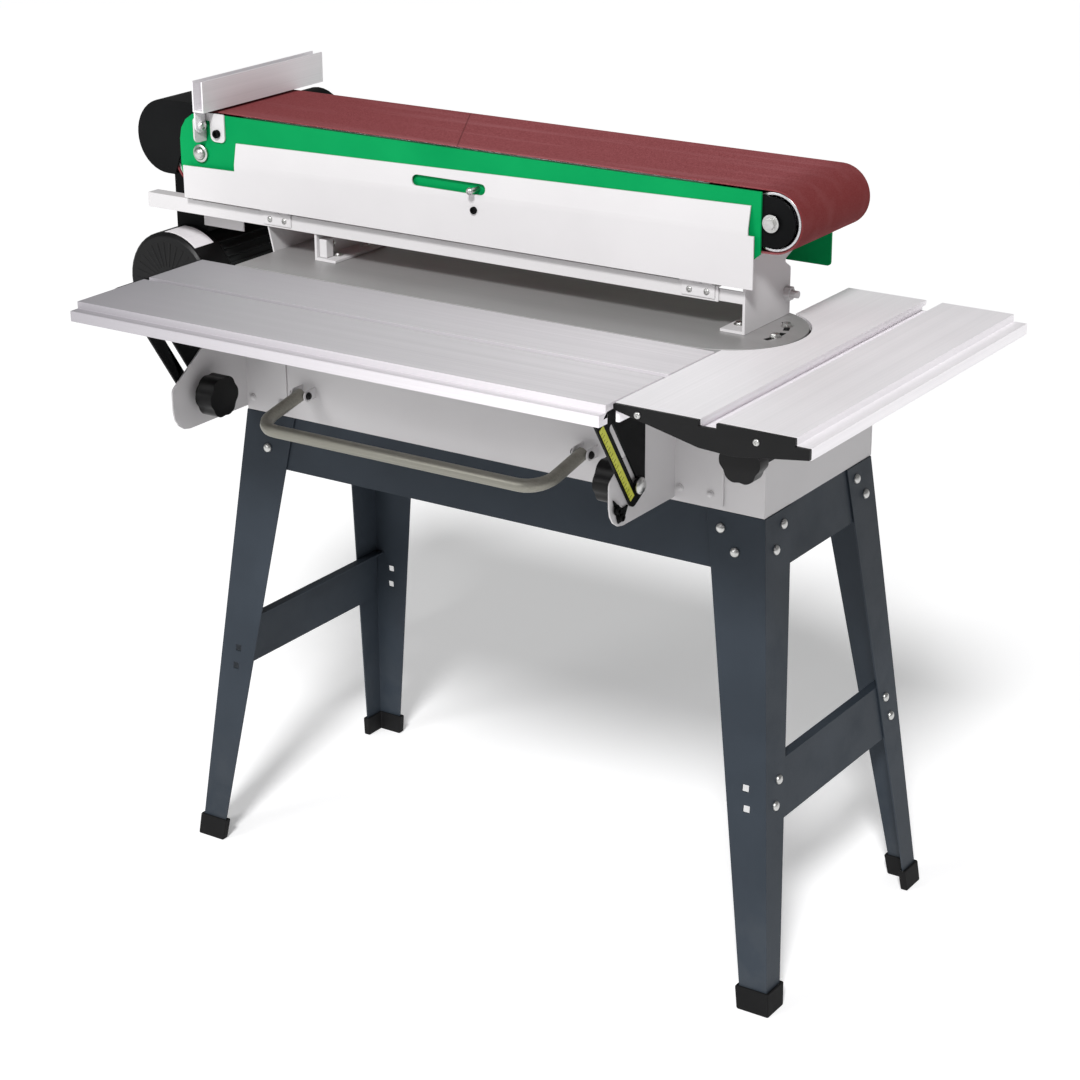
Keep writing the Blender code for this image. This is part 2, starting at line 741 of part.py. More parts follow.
def front_plate():
    left = DRIVE_X - 0.0325
    outline = rounded(
        [
            (left, 0.8800),
            (left + 0.012, 0.8620),
            (FRAME_RIGHT - 0.030, 0.8620),
            (FRAME_RIGHT, 0.8860),
            (FRAME_RIGHT, FRAME_TOP),
            (left, FRAME_TOP),
        ],
        [0.012, 0.006, 0.004, 0.002, 0.001, 0.034],
    )
    return head_plate("head_front_plate", outline, PLATE_FRONT)


def rear_plate():
    outline = rounded(
        [
            (DRIVE_X - 0.001, 0.8500),
            (DRIVE_X + 0.045, 0.8385),
            (FRAME_RIGHT, 0.8385),
            (FRAME_RIGHT, FRAME_TOP),
            (DRIVE_X - 0.001, FRAME_TOP),
        ],
        [0.002, 0.002, 0.004, 0.001, 0.002],
    )
    return head_plate("head_rear_plate", outline, REAR_PLATE)


PLATEN_LEFT = DRIVE_X + 0.059
PLATEN_RIGHT = IDLER_X - 0.077
PLATEN_SIDE = 0.030  # depth of its turned-down sides
PLATEN_SHEET = 0.003
TIE = 0.0035  # tie rods that hold it between the side plates


def platen():
    """A folded steel bed just under the belt's upper run."""
    top = BELT_TOP - BELT - 0.0005
    front, back = BELT_FRONT + 0.001, BELT_BACK - 0.001
    foot = top - PLATEN_SIDE
    path = [(back, foot), (back, top), (front, top), (front, foot)]
    bed = prism("platen", folded(path, PLATEN_SHEET), "x", PLATEN_LEFT, PLATEN_RIGHT, "bright_steel")
    low, high = PLATE_FRONT + FRAME_PLATE + FIT, REAR_PLATE - FIT
    for k, x in enumerate((PLATEN_LEFT + 2 * TIE, PLATEN_RIGHT - TIE)):
        join(bed, rod(f"platen_tie_{k}", "y", (x, foot + 0.012), TIE, low, high))
    return bed


SLOT_HALF = 0.0435
SLOT_RADIUS = 0.006
PANEL_SLOT_X = -0.002
PANEL_LEFT = -0.383
PANEL_STEP = -0.305  # left end of the upper strip
STRIP_RIGHT = 0.374
PANEL_RIGHT = 0.381
PANEL_BEND = -0.0075  # the bend line, from the line between the drums' middles
PANEL_EDGE = 0.0165  # the strip's upper edge
PANEL_LOW = TILT_Z + 0.0005
SPACERS = ((-0.320, 0.874), (0.340, 0.874))


def panel_profile(x):
    """Front sheet in section: upright up to the bend, then leaning back to the green plate."""
    bend, edge = beside_centres(x, PANEL_BEND), beside_centres(x, PANEL_EDGE)
    strip = PLATE_FRONT - FIT
    section = [
        (PANEL_FRONT, PANEL_LOW),
        (PANEL_FRONT, bend),
        (strip - SHEET, edge),
        (strip, edge),
        (PANEL_BACK, bend),
        (PANEL_BACK, PANEL_LOW),
    ]
    return [(x, y, z) for y, z in section]


def front_panel():
    """The white sheet over the front of the head, stepped at its ends, with a round-ended slot."""
    rings = [panel_profile(x) for x in (PANEL_STEP, STRIP_RIGHT)]
    panel = loft("head_front_panel", rings, "white_paint")
    for k, (low, high, rise) in enumerate(
        ((PANEL_LEFT, PANEL_STEP + 0.001, -0.0155), (STRIP_RIGHT - 0.001, PANEL_RIGHT, -0.014))
    ):
        outline = [
            (low, PANEL_LOW),
            (high, PANEL_LOW),
            (high, beside_centres(high, rise)),
            (low, beside_centres(low, rise)),
        ]
        join(panel, prism(f"panel_end_{k}", outline, "y", PANEL_FRONT, PANEL_BACK))
    middle = beside_centres(PANEL_SLOT_X, PANEL_BEND + SLOT_RADIUS + 0.0015)
    left, right = PANEL_SLOT_X - SLOT_HALF, PANEL_SLOT_X + SLOT_HALF
    slot = arc((right, middle), SLOT_RADIUS, -90, 90, 8)
    slot += arc((left, middle), SLOT_RADIUS, 90, 270, 8)
    cut(panel, prism("panel_slot", slot, "y", PANEL_FRONT - 0.01, PANEL_BACK + 0.01))
    for k, place in enumerate(SPACERS):
        low, high = PANEL_BACK - 0.001, PLATE_FRONT - FIT
        join(panel, rod(f"panel_spacer_{k}", "y", place, 0.006, low, high))
    return panel


HOOD_CENTRE = (-0.4155, 0.9165)
HOOD_RADIUS = 0.0440
HOOD_WALL = 0.002
HOOD_GAP = 0.003  # from the belt to the hood's heel


def dust_hood():
    """A round-ended shell over the belt where it turns on the drive drum, open towards the drum."""
    front = PLATE_FRONT + FRAME_PLATE + FIT
    back = REAR_PLATE + FRAME_PLATE
    x, z = HOOD_CENTRE
    tongue = (FENCE_X - FENCE_WIDTH - 0.020, z + HOOD_RADIUS)
    clear = DRIVE_RADIUS + BELT + HOOD_GAP
    heel = DRIVE_X - math.sqrt(clear**2 - (z - HOOD_RADIUS - DRIVE_Z) ** 2) - HOOD_GAP
    outer = [tongue] + arc(HOOD_CENTRE, HOOD_RADIUS, 90, 270, 20) + [(heel, z - HOOD_RADIUS)]
    hood = prism("dust_hood", outer, "y", front, back, "black_paint")
    inside = HOOD_RADIUS - HOOD_WALL
    mouth = tongue[0] + 0.01
    inner = [(mouth, z + inside)] + arc(HOOD_CENTRE, inside, 90, 270, 20) + [(mouth, z - inside)]
    return cut(hood, prism("hood_hollow", inner, "y", front + HOOD_WALL, back - HOOD_WALL))


HANGER = (-0.4525, -0.4045, -0.1370, -0.0450)  # left, right, front, back
HANGER_SHEET = 0.003


def motor_bracket():
    """A black channel that hangs the motor under the drive end of the head."""
    low = MOTOR_Z + MOTOR_RADIUS + FIT
    high = HOOD_CENTRE[1] - HOOD_RADIUS - FIT
    left, right, front, back = HANGER
    path = [(left, high), (left, low), (right, low), (right, high)]
    sides = folded(path, HANGER_SHEET)
    web = prism("motor_bracket", sides, "y", front, back, "black_paint")
    top = box("bracket_top", (left, front, high - HANGER_SHEET), (right, back, high))
    face = box("bracket_face", (left, front, low), (right, front + HANGER_SHEET, high))
    return join(web, top, face)


def motor():
    """Motor body, its fan cowl, and the rotor with fan and pulley."""
    centre = (MOTOR_X, MOTOR_Z)
    cowl_back = MOTOR_FRONT + COWL_LENGTH
    body_front = cowl_back + FIT
    span = (body_front, MOTOR_BACK)
    body = rod("motor_body", "y", centre, MOTOR_RADIUS, *span, "motor_grey", WIDE_ROUND)
    shaft = 0.008
    cut(body, rod("motor_bore", "y", centre, shaft + RUNNING, body_front - 0.01, MOTOR_BACK + 0.01))
    wall = 0.002
    profile = [
        (COWL_RADIUS, MOTOR_FRONT + 0.004),
        (COWL_RADIUS, cowl_back),
        (COWL_RADIUS - wall, cowl_back),
        (COWL_RADIUS - wall, MOTOR_FRONT + 0.005),
        (COWL_RADIUS - 0.006, MOTOR_FRONT + wall),
        (0.012, MOTOR_FRONT + wall),
        (0.012, MOTOR_FRONT),
        (COWL_RADIUS - 0.004, MOTOR_FRONT),
    ]
    cowl = turned("motor_fan_cowl", "y", centre, profile, "black_plastic")
    spigot = [
        (MOTOR_RADIUS - 0.004, cowl_back - 0.004),
        (MOTOR_RADIUS - 0.004, body_front + 0.002),
        (MOTOR_RADIUS - 0.012, body_front + 0.002),
        (MOTOR_RADIUS - 0.012, cowl_back - 0.004),
    ]
    join(body, turned("motor_spigot", "y", centre, spigot))
    low, high = PULLEY_MIDDLE - PULLEY_WIDTH / 2, PULLEY_MIDDLE + PULLEY_WIDTH / 2
    rotor = rod("motor_rotor", "y", centre, shaft, MOTOR_FRONT + 0.008, high + 0.004, "zinc_plate")
    fan = rod("fan", "y", centre, 0.043, MOTOR_FRONT + 0.012, MOTOR_FRONT + 0.030, sides=WIDE_ROUND)
    join(rotor, fan, pulley("motor_pulley", centre, MOTOR_PULLEY, low, high))
    return [body, cowl], rotor


def pulley(name, centre, groove, low, high):
    side = (high - low - V_BELT_WIDTH - 2 * FIT) / 2
    rim = groove + PULLEY_RIM
    profile = [
        (rim, low),
        (rim, low + side),
        (groove, low + side),
        (groove, high - side),
        (rim, high - side),
        (rim, high),
        (0.002, high),
        (0.002, low),
    ]
    return turned(name, "y", centre, profile)


def drum_train():
    """Drive drum, its shaft with the pulley, and the V-belt from the motor."""
    centre = (DRIVE_X, DRIVE_Z)
    front, back = BELT_FRONT + 0.001, BELT_BACK - 0.001
    radius, bore = DRIVE_RADIUS - FIT, SHAFT + RUNNING
    drum = drum_body("drive_drum", centre, radius, bore, front, back, "bright_steel")
    low, high = PULLEY_MIDDLE - PULLEY_WIDTH / 2, PULLEY_MIDDLE + PULLEY_WIDTH / 2
    near, far = PLATE_FRONT - 0.002, high + 0.004
    shaft = rod("drum_shaft", "y", centre, SHAFT, near, far, "zinc_plate", WIDE_ROUND)
    join(shaft, pulley("drum_pulley", centre, DRUM_PULLEY, low, high))
    join(shaft, rod("shaft_bolt", "y", centre, 0.0065, PLATE_FRONT - 0.0065, PLATE_FRONT, sides=6))
    inner = wrapped(centre, DRUM_PULLEY + FIT, (MOTOR_X, MOTOR_Z), MOTOR_PULLEY + FIT)
    outer = wrapped(centre, DRUM_PULLEY + V_BELT, (MOTOR_X, MOTOR_Z), MOTOR_PULLEY + V_BELT)
    low = PULLEY_MIDDLE - V_BELT_WIDTH / 2
    v_belt = band("v_belt", outer, inner, "y", low, low + V_BELT_WIDTH, "black_rubber")
    return drum, shaft, v_belt


DRUM_RECESS = 0.050  # depth of the hollow in each end
DRUM_WALL = 0.0035
HUB_WALL = 0.007


def drum_body(name, centre, radius, bore, front, back, paint):
    """A drum with a recess in each end and a hub along its middle."""
    recess, wall = DRUM_RECESS, DRUM_WALL
    hub = bore + HUB_WALL
    profile = [
        (radius - 0.001, front),
        (radius, front + 0.001),
        (radius, back - 0.001),
        (radius - 0.001, back),
        (radius - wall, back),
        (radius - wall, back - recess),
        (hub, back - recess),
        (hub, back - 0.002),
        (bore, back - 0.002),
        (bore, front + 0.002),
        (hub, front + 0.002),
        (hub, front + recess),
        (radius - wall, front + recess),
        (radius - wall, front),
    ]
    return turned(name, "y", centre, profile, paint)


GUARD = 0.002
GUARD_TOP = 0.040  # radius round the drum pulley
GUARD_FOOT = 0.034  # radius round the motor pulley
GUARD_GAP = 0.008


def drive_guard():
    """A capsule-shaped cover over the two pulleys, open towards the motor."""
    front, back = MOTOR_BACK + FIT, PULLEY_MIDDLE + PULLEY_WIDTH / 2 + GUARD_GAP
    drum, motor_end = (DRIVE_X, DRIVE_Z), (MOTOR_X, MOTOR_Z)
    shape = wrapped(drum, GUARD_TOP, motor_end, GUARD_FOOT)
    guard = prism("drive_guard", shape, "y", front, back, "black_paint")
    hollow = wrapped(drum, GUARD_TOP - GUARD, motor_end, GUARD_FOOT - GUARD)
    return cut(guard, prism("guard_hollow", hollow, "y", front - 0.01, back - GUARD))


CARRIAGE_LEFT = 0.335
CARRIAGE = 0.0024
CARRIAGE_REAR = 0.0018
CHEEK_RADIUS = 0.0265
WASHER = 0.0095
WASHER_DEPTH = 0.0014
BOLT_HEAD = 0.0062
BOLT_DEPTH = 0.0045


def idler():
    """Idler drum on its axle, held by a carriage that slides to tension the belt."""
    centre = (IDLER_X, IDLER_Z)
    front, back = BELT_FRONT + 0.001, BELT_BACK - 0.001
    radius, bore = IDLER_RADIUS - FIT, AXLE + RUNNING
    drum = drum_body("idler_drum", centre, radius, bore, front, back, "bright_steel")
    outline = [(CARRIAGE_LEFT, IDLER_Z - CHEEK_RADIUS)]
    outline += arc(centre, CHEEK_RADIUS, -90, 90, 16)
    outline.append((CARRIAGE_LEFT, IDLER_Z + CHEEK_RADIUS))
    cheek_back = BELT_FRONT - FIT
    carriage = prism("tension_carriage", outline, "y", cheek_back - CARRIAGE, cheek_back, "black_paint")
    rear_low = BELT_BACK + FIT
    rear = prism("carriage_rear", outline, "y", rear_low, rear_low + CARRIAGE_REAR)
    low = (CARRIAGE_LEFT + 0.003, cheek_back - 0.001, IDLER_Z - 0.012)
    high = (CARRIAGE_LEFT + 0.015, rear_low + 0.001, IDLER_Z + 0.012)
    bar = box("carriage_bar", low, high)
    join(carriage, bar, rear)
    cut(carriage, rod("carriage_bore", "y", centre, AXLE + RUNNING, cheek_back - 0.01, rear_low + 0.01))
    washer_back = PLATE_FRONT - FIT
    near, far = washer_back - 0.001, rear_low + CARRIAGE_REAR
    axle = rod("idler_axle", "y", centre, AXLE, near, far, "zinc_plate")
    washer = rod("axle_washer", "y", centre, WASHER, washer_back - WASHER_DEPTH, washer_back)
    head_back = washer_back - WASHER_DEPTH / 2
    bolt = rod("axle_head", "y", centre, BOLT_HEAD, head_back - BOLT_DEPTH, head_back, sides=6)
    join(axle, washer, bolt)
    return drum, carriage, axle


def sanding_belt():
    drive, idle = (DRIVE_X, DRIVE_Z), (IDLER_X, IDLER_Z)
    inner = wrapped(drive, DRIVE_RADIUS, idle, IDLER_RADIUS, 24)
    outer = wrapped(drive, DRIVE_RADIUS + BELT, idle, IDLER_RADIUS + BELT, 24)
    return band("sanding_belt", outer, inner, "y", BELT_FRONT, BELT_BACK, "abrasive")


FENCE_EYE = 0.0085  # radius round the pin
FENCE_EAR_LOW = 0.9200
FENCE_WEB_TOP = 0.9530
FENCE_WEB_FOOT = 0.9440  # the web's lower edge between its two ears
FENCE_EAR = (-0.3425, -0.3215)  # left and right edge of the ear on the green plate


def fence_channel():
    """The channel itself, with a lug that turns on the pin."""
    left = FENCE_X - FENCE_WIDTH
    top = FENCE_LOW + FENCE_HEIGHT
    path = [(left, top), (left, FENCE_LOW), (FENCE_X, FENCE_LOW), (FENCE_X, top)]
    back = FENCE_FRONT + FENCE_LENGTH
    channel = prism("fence_channel", folded(path, SHEET), "y", FENCE_FRONT, back, "white_paint")
    y, z = FENCE_PIVOT
    lug = [(y + FENCE_EYE, FENCE_LOW + 0.002), (y - FENCE_EYE, FENCE_LOW + 0.002)]
    lug += arc((y, z), FENCE_EYE, 180, 360, 10)
    join(channel, prism("fence_lug", lug, "x", left, left + SHEET))
    return cut(channel, rod("lug_bore", "x", (y, z), FENCE_PIN + RUNNING, left - 0.01, left + 0.01))


def fence_bracket():
    """A bent plate on the head: one ear for the pin, and one screwed flat to the green plate."""
    inner = FENCE_X - FENCE_WIDTH
    outer = inner - FIT
    y, z = FENCE_PIVOT
    web_back = PLATE_FRONT - FIT
    ear = rounded(
        [
            (web_back, FENCE_WEB_TOP),
            (y - FENCE_EYE, z + FENCE_EYE),
            (y - FENCE_EYE, FENCE_EAR_LOW),
            (web_back, FENCE_EAR_LOW),
        ],
        [0, 0.003, 0.007, 0],
    )
    bracket = prism("fence_bracket", ear, "x", outer - SHEET, outer, "white_paint")
    web = rounded(
        [
            (outer - SHEET, FENCE_WEB_TOP),
            (outer - SHEET, FENCE_WEB_FOOT),
            (FENCE_EAR[0], FENCE_WEB_FOOT),
            (FENCE_EAR[0], FENCE_EAR_LOW),
            (FENCE_EAR[1], FENCE_EAR_LOW),
            (FENCE_EAR[1], FENCE_WEB_TOP),
        ],
        [0, 0, 0.002, 0.007, 0.005, 0.002],
    )
    pin = rod("fence_pin", "x", (y, z), FENCE_PIN, outer - 0.001, inner + SHEET + 0.0025)
    low = inner + SHEET + FIT
    head_end = rod("pin_head", "x", (y, z), 0.0055, low, low + 0.003)
    return join(bracket, prism("fence_web", web, "y", web_back - SHEET, web_back), pin, head_end)


def head(rail_face):
    fixed = [front_plate(), rear_plate(), platen(), front_panel(), dust_hood(), motor_bracket()]
    fixed.append(drive_guard())
    motor_parts, rotor = motor()
    drum, shaft, v_belt = drum_train()
    roller, carriage, axle = idler()
    channel, bracket = fence_channel(), fence_bracket()
    leaves = [hinge("hinge_left", HINGES[0], rail_face, PANEL_BACK)]
    leaves.append(hinge("hinge_right", HINGES[1], rail_face, PANEL_BACK))
    on_head = fixed + motor_parts + leaves + [v_belt, sanding_belt(), bracket]
    tilt = pivot("head_tilt", (0, TILT_Y, TILT_Z), *on_head)
    middle = (BELT_FRONT + BELT_BACK) / 2
    turns = pivot("drum_spin", (DRIVE_X, middle, DRIVE_Z), drum, shaft)
    motor_turns = pivot("motor_spin", (MOTOR_X, middle, MOTOR_Z), rotor)
    slide = pivot("idler_tension", (IDLER_X, middle, IDLER_Z), carriage, axle)
    idler_turns = pivot("idler_spin", (IDLER_X, middle, IDLER_Z), roller)
    flip = pivot("fence_flip", (FENCE_X, *FENCE_PIVOT), channel)
    pairs = ((turns, tilt), (motor_turns, tilt), (slide, tilt), (idler_turns, slide), (flip, tilt))
    for inner, outer in pairs:
        inner.parent = outer
        inner.matrix_parent_inverse = outer.matrix_world.inverted()


# ---- tables --------------------------------------------------------------------------------
def front_table():
    """An extruded table with a mitre slot, a stepped front lip and skirts below."""
    top, low = TABLE_TOP, TABLE_LOW
    plate = top - TABLE_PLATE
    lip = top - LIP_DROP
    half, wide = MITRE_SLOT_WIDTH / 2, T_SLOT_WIDTH / 2
    neck, floor = top - 0.0045, top - 0.011
    skirt = 0.004
    outline = [
        (TABLE_BACK, low),
        (TABLE_BACK, top),
        (MITRE_SLOT + half, top),
        (MITRE_SLOT + half, neck),
        (MITRE_SLOT + wide, neck),
        (MITRE_SLOT + wide, floor),
        (MITRE_SLOT - wide, floor),
        (MITRE_SLOT - wide, neck),
        (MITRE_SLOT - half, neck),
        (MITRE_SLOT - half, top),
        (TABLE_FRONT, top),
        (TABLE_FRONT, lip),
        (TABLE_FRONT - LIP, lip),
        (TABLE_FRONT - LIP, low),
        (TABLE_FRONT + skirt, low),
        (TABLE_FRONT + skirt, plate),
        (MITRE_SLOT - wide - skirt, plate),
        (MITRE_SLOT - wide - skirt, low),
        (MITRE_SLOT + wide + skirt, low),
        (MITRE_SLOT + wide + skirt, plate),
        (TABLE_BACK - skirt, plate),
        (TABLE_BACK - skirt, low),
    ]
    return prism("front_table", outline, "x", TABLE_LEFT, TABLE_RIGHT, "aluminium")


def along_guide(travel, across=0.0):
    """A point in YZ from the clamping stud, up the guides and then across them."""
    return (
        ARM_GUIDE[0] + travel * SLIDE[0] + across * ACROSS[0],
        ARM_GUIDE[1] + travel * SLIDE[1] + across * ACROSS[1],
    )


def guide_slot():
    """The long hole in an arm: its lower end is round the stud, its length is the table's travel."""
    radius = STUD + FIT
    lean = math.degrees(math.atan2(SLIDE[1], SLIDE[0]))
    low, high = along_guide(-FIT), along_guide(TABLE_TRAVEL + FIT)
    return arc(high, radius, lean - 90, lean + 90, 8) + arc(low, radius, lean + 90, lean + 270, 8)


ARM_BACK = -0.198
CROSS_BAR = (-0.348, -0.303)  # front and back edge
CROSS_BAR_DEPTH = 0.006


def arm_outline():
    top = TABLE_LOW - FIT
    front_low = along_guide(-0.016, 0.022)
    travel = (top - front_low[1]) / SLIDE[1]
    front_top = (front_low[0] + travel * SLIDE[0], top)
    back_low = (ARM_BACK, along_guide(-0.013)[1])
    corners = [back_low, (ARM_BACK, top), front_top, front_low]
    return rounded(corners, [0.006, 0, 0, 0.008])


def table_frame():
    """Two slotted arms joined by a cross bar under the table."""
    faces = (-CABINET_HALF_LENGTH - FIT - ARM, RIGHT_BRACKET + SHEET + FIT)
    arms = []
    for where, face in zip(("left", "right"), faces):
        arm = prism(f"table_frame_{where}", arm_outline(), "x", face, face + ARM, "black_paint")
        slot = prism(f"guide_slot_{where}", guide_slot(), "x", face - 0.01, face + 0.02)
        arms.append(cut(arm, slot))
    top = TABLE_LOW - FIT
    low = (faces[0] + ARM / 3, CROSS_BAR[0], top - CROSS_BAR_DEPTH)
    high = (faces[1] + 2 * ARM / 3, CROSS_BAR[1], top)
    bar = box("table_frame", low, high, "black_paint")
    for arm in arms:
        join(bar, arm)
    return bar, faces


def scale_strip(face):
    """The yellow scale on the right arm."""
    near, far = SCALE_EDGE, SCALE_EDGE + SCALE_WIDTH
    low_end, high_end = SCALE_ENDS
    places = ((low_end, near), (low_end, far), (high_end, far), (high_end, near))
    corners = [along_guide(travel, across) for travel, across in places]
    low = face + ARM + FIT
    return prism("scale_strip", corners, "x", low, low + 0.0006, "scale_yellow")


def pointer():
    """The fixed pointer on the right bracket, at the foot of the scale."""
    tip = along_guide(-0.006, 0.0235)
    corners = [tip, (tip[0] - 0.012, tip[1] - 0.001), (-0.260, 0.613), (-0.250, 0.583), (-0.238, 0.586)]
    low = RIGHT_BRACKET + SHEET + FIT
    return prism("pointer", corners, "x", low, low + 0.002, "black_paint")


def lobed(centre, radius, lobes=6, dip=0.0022, steps=48):
    """A hand knob's outline: a circle with shallow finger dips."""
    points = []
    for k in range(steps):
        a = 2 * math.pi * k / steps
        r = radius - dip * (0.5 - 0.5 * math.cos(lobes * a)) ** 2
        points.append((centre[0] + r * math.cos(a), centre[1] + r * math.sin(a)))
    return points


def clamp_knob(name, cheek_face, arm_face, outward):
    """A lobed knob inside the bracket on a stud whose dome head bears on the arm outside."""
    hub_end = cheek_face + outward * (FIT + CLAMP_HUB_LENGTH)
    far = hub_end + outward * CLAMP_KNOB_DEPTH
    low, high = sorted((hub_end, far))
    knob = prism(name, lobed(ARM_GUIDE, CLAMP_KNOB_RADIUS), "x", low, high, "black_plastic")
    near = cheek_face + outward * FIT
    low, high = sorted((near, hub_end + outward * 0.002))
    join(knob, rod(f"{name}_hub", "x", ARM_GUIDE, KNOB_HUB, low, high))
    head_near = arm_face - outward * FIT
    head_far = head_near - outward * 0.0035
    low, high = sorted((head_far, hub_end + outward * 0.002))
    join(knob, rod(f"{name}_stud", "x", ARM_GUIDE, STUD, low, high))
    low, high = sorted((head_near, head_far))
    join(knob, rod(f"{name}_head", "x", ARM_GUIDE, 0.0095, low, high))
    return knob


def end_table():
    """Two boards with a T-slot between them, an outer lip, and a notch round the base plate's tip."""
    top, low = TABLE_TOP, TABLE_LOW
    right = END_LEFT + END_WIDTH
    lip = top - LIP_DROP
    half = END_SLOT_WIDTH / 2
    wide = half + 0.0045
    neck, floor = top - 0.0055, top - 0.012
    plate, skirt = top - TABLE_PLATE, 0.004
    outline = [
        (END_LEFT, low),
        (END_LEFT + skirt, low),
        (END_LEFT + skirt, plate),
        (END_SLOT_MIDDLE - wide - skirt, plate),
        (END_SLOT_MIDDLE - wide - skirt, low),
        (END_SLOT_MIDDLE + wide + skirt, low),
        (END_SLOT_MIDDLE + wide + skirt, plate),
        (right - skirt, plate),
        (right - skirt, low),
        (right + END_LIP, low),
        (right + END_LIP, lip),
        (right, lip),
        (right, top),
        (END_SLOT_MIDDLE + half, top),
        (END_SLOT_MIDDLE + half, neck),
        (END_SLOT_MIDDLE + wide, neck),
        (END_SLOT_MIDDLE + wide, floor),
        (END_SLOT_MIDDLE - wide, floor),
        (END_SLOT_MIDDLE - wide, neck),
        (END_SLOT_MIDDLE - half, neck),
        (END_SLOT_MIDDLE - half, top),
        (END_LEFT, top),
    ]
    boards = prism("end_table", outline, "y", END_FRONT, END_BACK, "pale_aluminium")
    radius = (BASE_BACK - BASE_FRONT) / 2
    centre = (BASE_TIP - radius, (BASE_BACK + BASE_FRONT) / 2)
    notch = rod("tip_notch", "z", centre, radius + END_NOTCH_GAP, low - 0.01, top + 0.01, sides=64)
    return cut(boards, notch)


def end_cap():
    """The black moulding on the front ends of the boards, deepest in its middle."""
    top = TABLE_TOP - 0.0004
    right = END_LEFT + END_WIDTH
    half = END_SLOT_WIDTH / 2
    outline = [
        (END_LEFT - 0.0005, top),
        (END_LEFT - 0.0005, top - 0.006),
        (END_SLOT_MIDDLE - half, TABLE_LOW - 0.008),
        (END_SLOT_MIDDLE + half + 0.018, TABLE_LOW - 0.010),
        (right + END_LIP, TABLE_LOW + 0.001),
        (right + END_LIP, top - LIP_DROP),
        (right, top - LIP_DROP),
        (right, top),
        (END_SLOT_MIDDLE + half, top),
        (END_SLOT_MIDDLE + half, top - 0.006),
        (END_SLOT_MIDDLE - half, top - 0.006),
        (END_SLOT_MIDDLE - half, top),
    ]
    back = END_FRONT - FIT
    return prism("end_table_cap", outline, "y", back - CAP_DEPTH, back, "black_plastic")


END_KNOB = (0.4985, 0.7525)
CARRIAGE_PLATE = 0.004
CARRIAGE_REACH = 0.100
CARRIAGE_SPAN = (-0.060, 0.030)  # front and back of the upright
SHELF_FRONT = -0.300
BEAM_HALF = 0.011
BEAM_INSET = 0.040  # from the boards' front to the knob's beam


def end_carriage():
    """The slide beside the cabinet that carries the end table, with a boss for its clamping knob."""
    top = TABLE_LOW - FIT
    left = CABINET_HALF_LENGTH + 0.0035
    low = (left, CARRIAGE_SPAN[0], top - CARRIAGE_REACH)
    high = (left + CARRIAGE_PLATE, CARRIAGE_SPAN[1], top)
    upright = box("end_table_carriage", low, high, "black_paint")
    under, back = top - CARRIAGE_PLATE, CARRIAGE_SPAN[1]
    ledge = box("carriage_ledge", (left, low[1], under), (END_LEFT + 0.010, back, top))
    x, z = END_KNOB
    right = x + BEAM_HALF
    shelf = box("carriage_shelf", (END_LEFT + 0.002, SHELF_FRONT, under), (right, back, top))
    near, far = END_FRONT + BEAM_INSET, SHELF_FRONT + 0.040
    beam = box("carriage_beam", (x - BEAM_HALF, near, z - 0.009), (right, far, top))
    join(upright, ledge, shelf, beam)
    bore_low = END_FRONT + 0.030
    return cut(upright, rod("beam_bore", "y", END_KNOB, STUD + RUNNING, bore_low, END_FRONT + 0.075))


def end_knob():
    face = END_FRONT + BEAM_INSET - FIT
    near, far = face - 0.004 - KNOB_DEPTH, face - 0.004
    knob = prism("end_table_knob", lobed(END_KNOB, KNOB_RADIUS), "y", near, far, "black_plastic")
    join(knob, rod("end_knob_hub", "y", END_KNOB, KNOB_HUB, face - 0.006, face))
    return join(knob, rod("end_knob_stud", "y", END_KNOB, STUD, face - 0.006, END_FRONT + 0.072))


def tables():
    table = front_table()
    frame, faces = table_frame()
    strip = scale_strip(faces[1])
    pointer()
    table_bracket("table_bracket_left", -CABINET_HALF_LENGTH)
    table_bracket("table_bracket_right", RIGHT_BRACKET)
    left = clamp_knob("knob_left", -CABINET_HALF_LENGTH + SHEET, faces[0], 1)
    right = clamp_knob("knob_right", RIGHT_BRACKET, faces[1] + ARM, -1)
    pivot("front_table_slide", (0, *ARM_GUIDE), table, frame, strip)
    pivot("left_knob_turn", (-CABINET_HALF_LENGTH, *ARM_GUIDE), left)
    pivot("right_knob_turn", (RIGHT_BRACKET, *ARM_GUIDE), right)
    boards, cap, carriage, knob = end_table(), end_cap(), end_carriage(), end_knob()
    lift = pivot("end_table_slide", (CABINET_HALF_LENGTH, 0, TABLE_LOW), boards, cap, carriage)
    turn = pivot("end_knob_turn", (END_KNOB[0], END_FRONT, END_KNOB[1]), knob)
    turn.parent = lift
    turn.matrix_parent_inverse = lift.matrix_world.inverted()


# ---- bail ----------------------------------------------------------------------------------
def bail_route():
    """The middle line of the bail's tube: a U in the plane through its pins."""
    back_y, back_z = BAIL_PIVOT
    front_y, front_z = BAIL_BAR
    length = math.hypot(front_y - back_y, front_z - back_z)
    ahead = ((front_y - back_y) / length, (front_z - back_z) / length)
    flat = [(BAIL_LEFT, 0.0)]
    left_centre = (BAIL_LEFT + BAIL_BEND, length - BAIL_BEND)
    flat += arc(left_centre, BAIL_BEND, 180, 90, 7)
    right_centre = (BAIL_RIGHT - BAIL_BEND, length - BAIL_BEND)
    flat += arc(right_centre, BAIL_BEND, 90, 0, 7)
    flat.append((BAIL_RIGHT, 0.0))
    return [(x, back_y + ahead[0] * reach, back_z + ahead[1] * reach) for x, reach in flat]


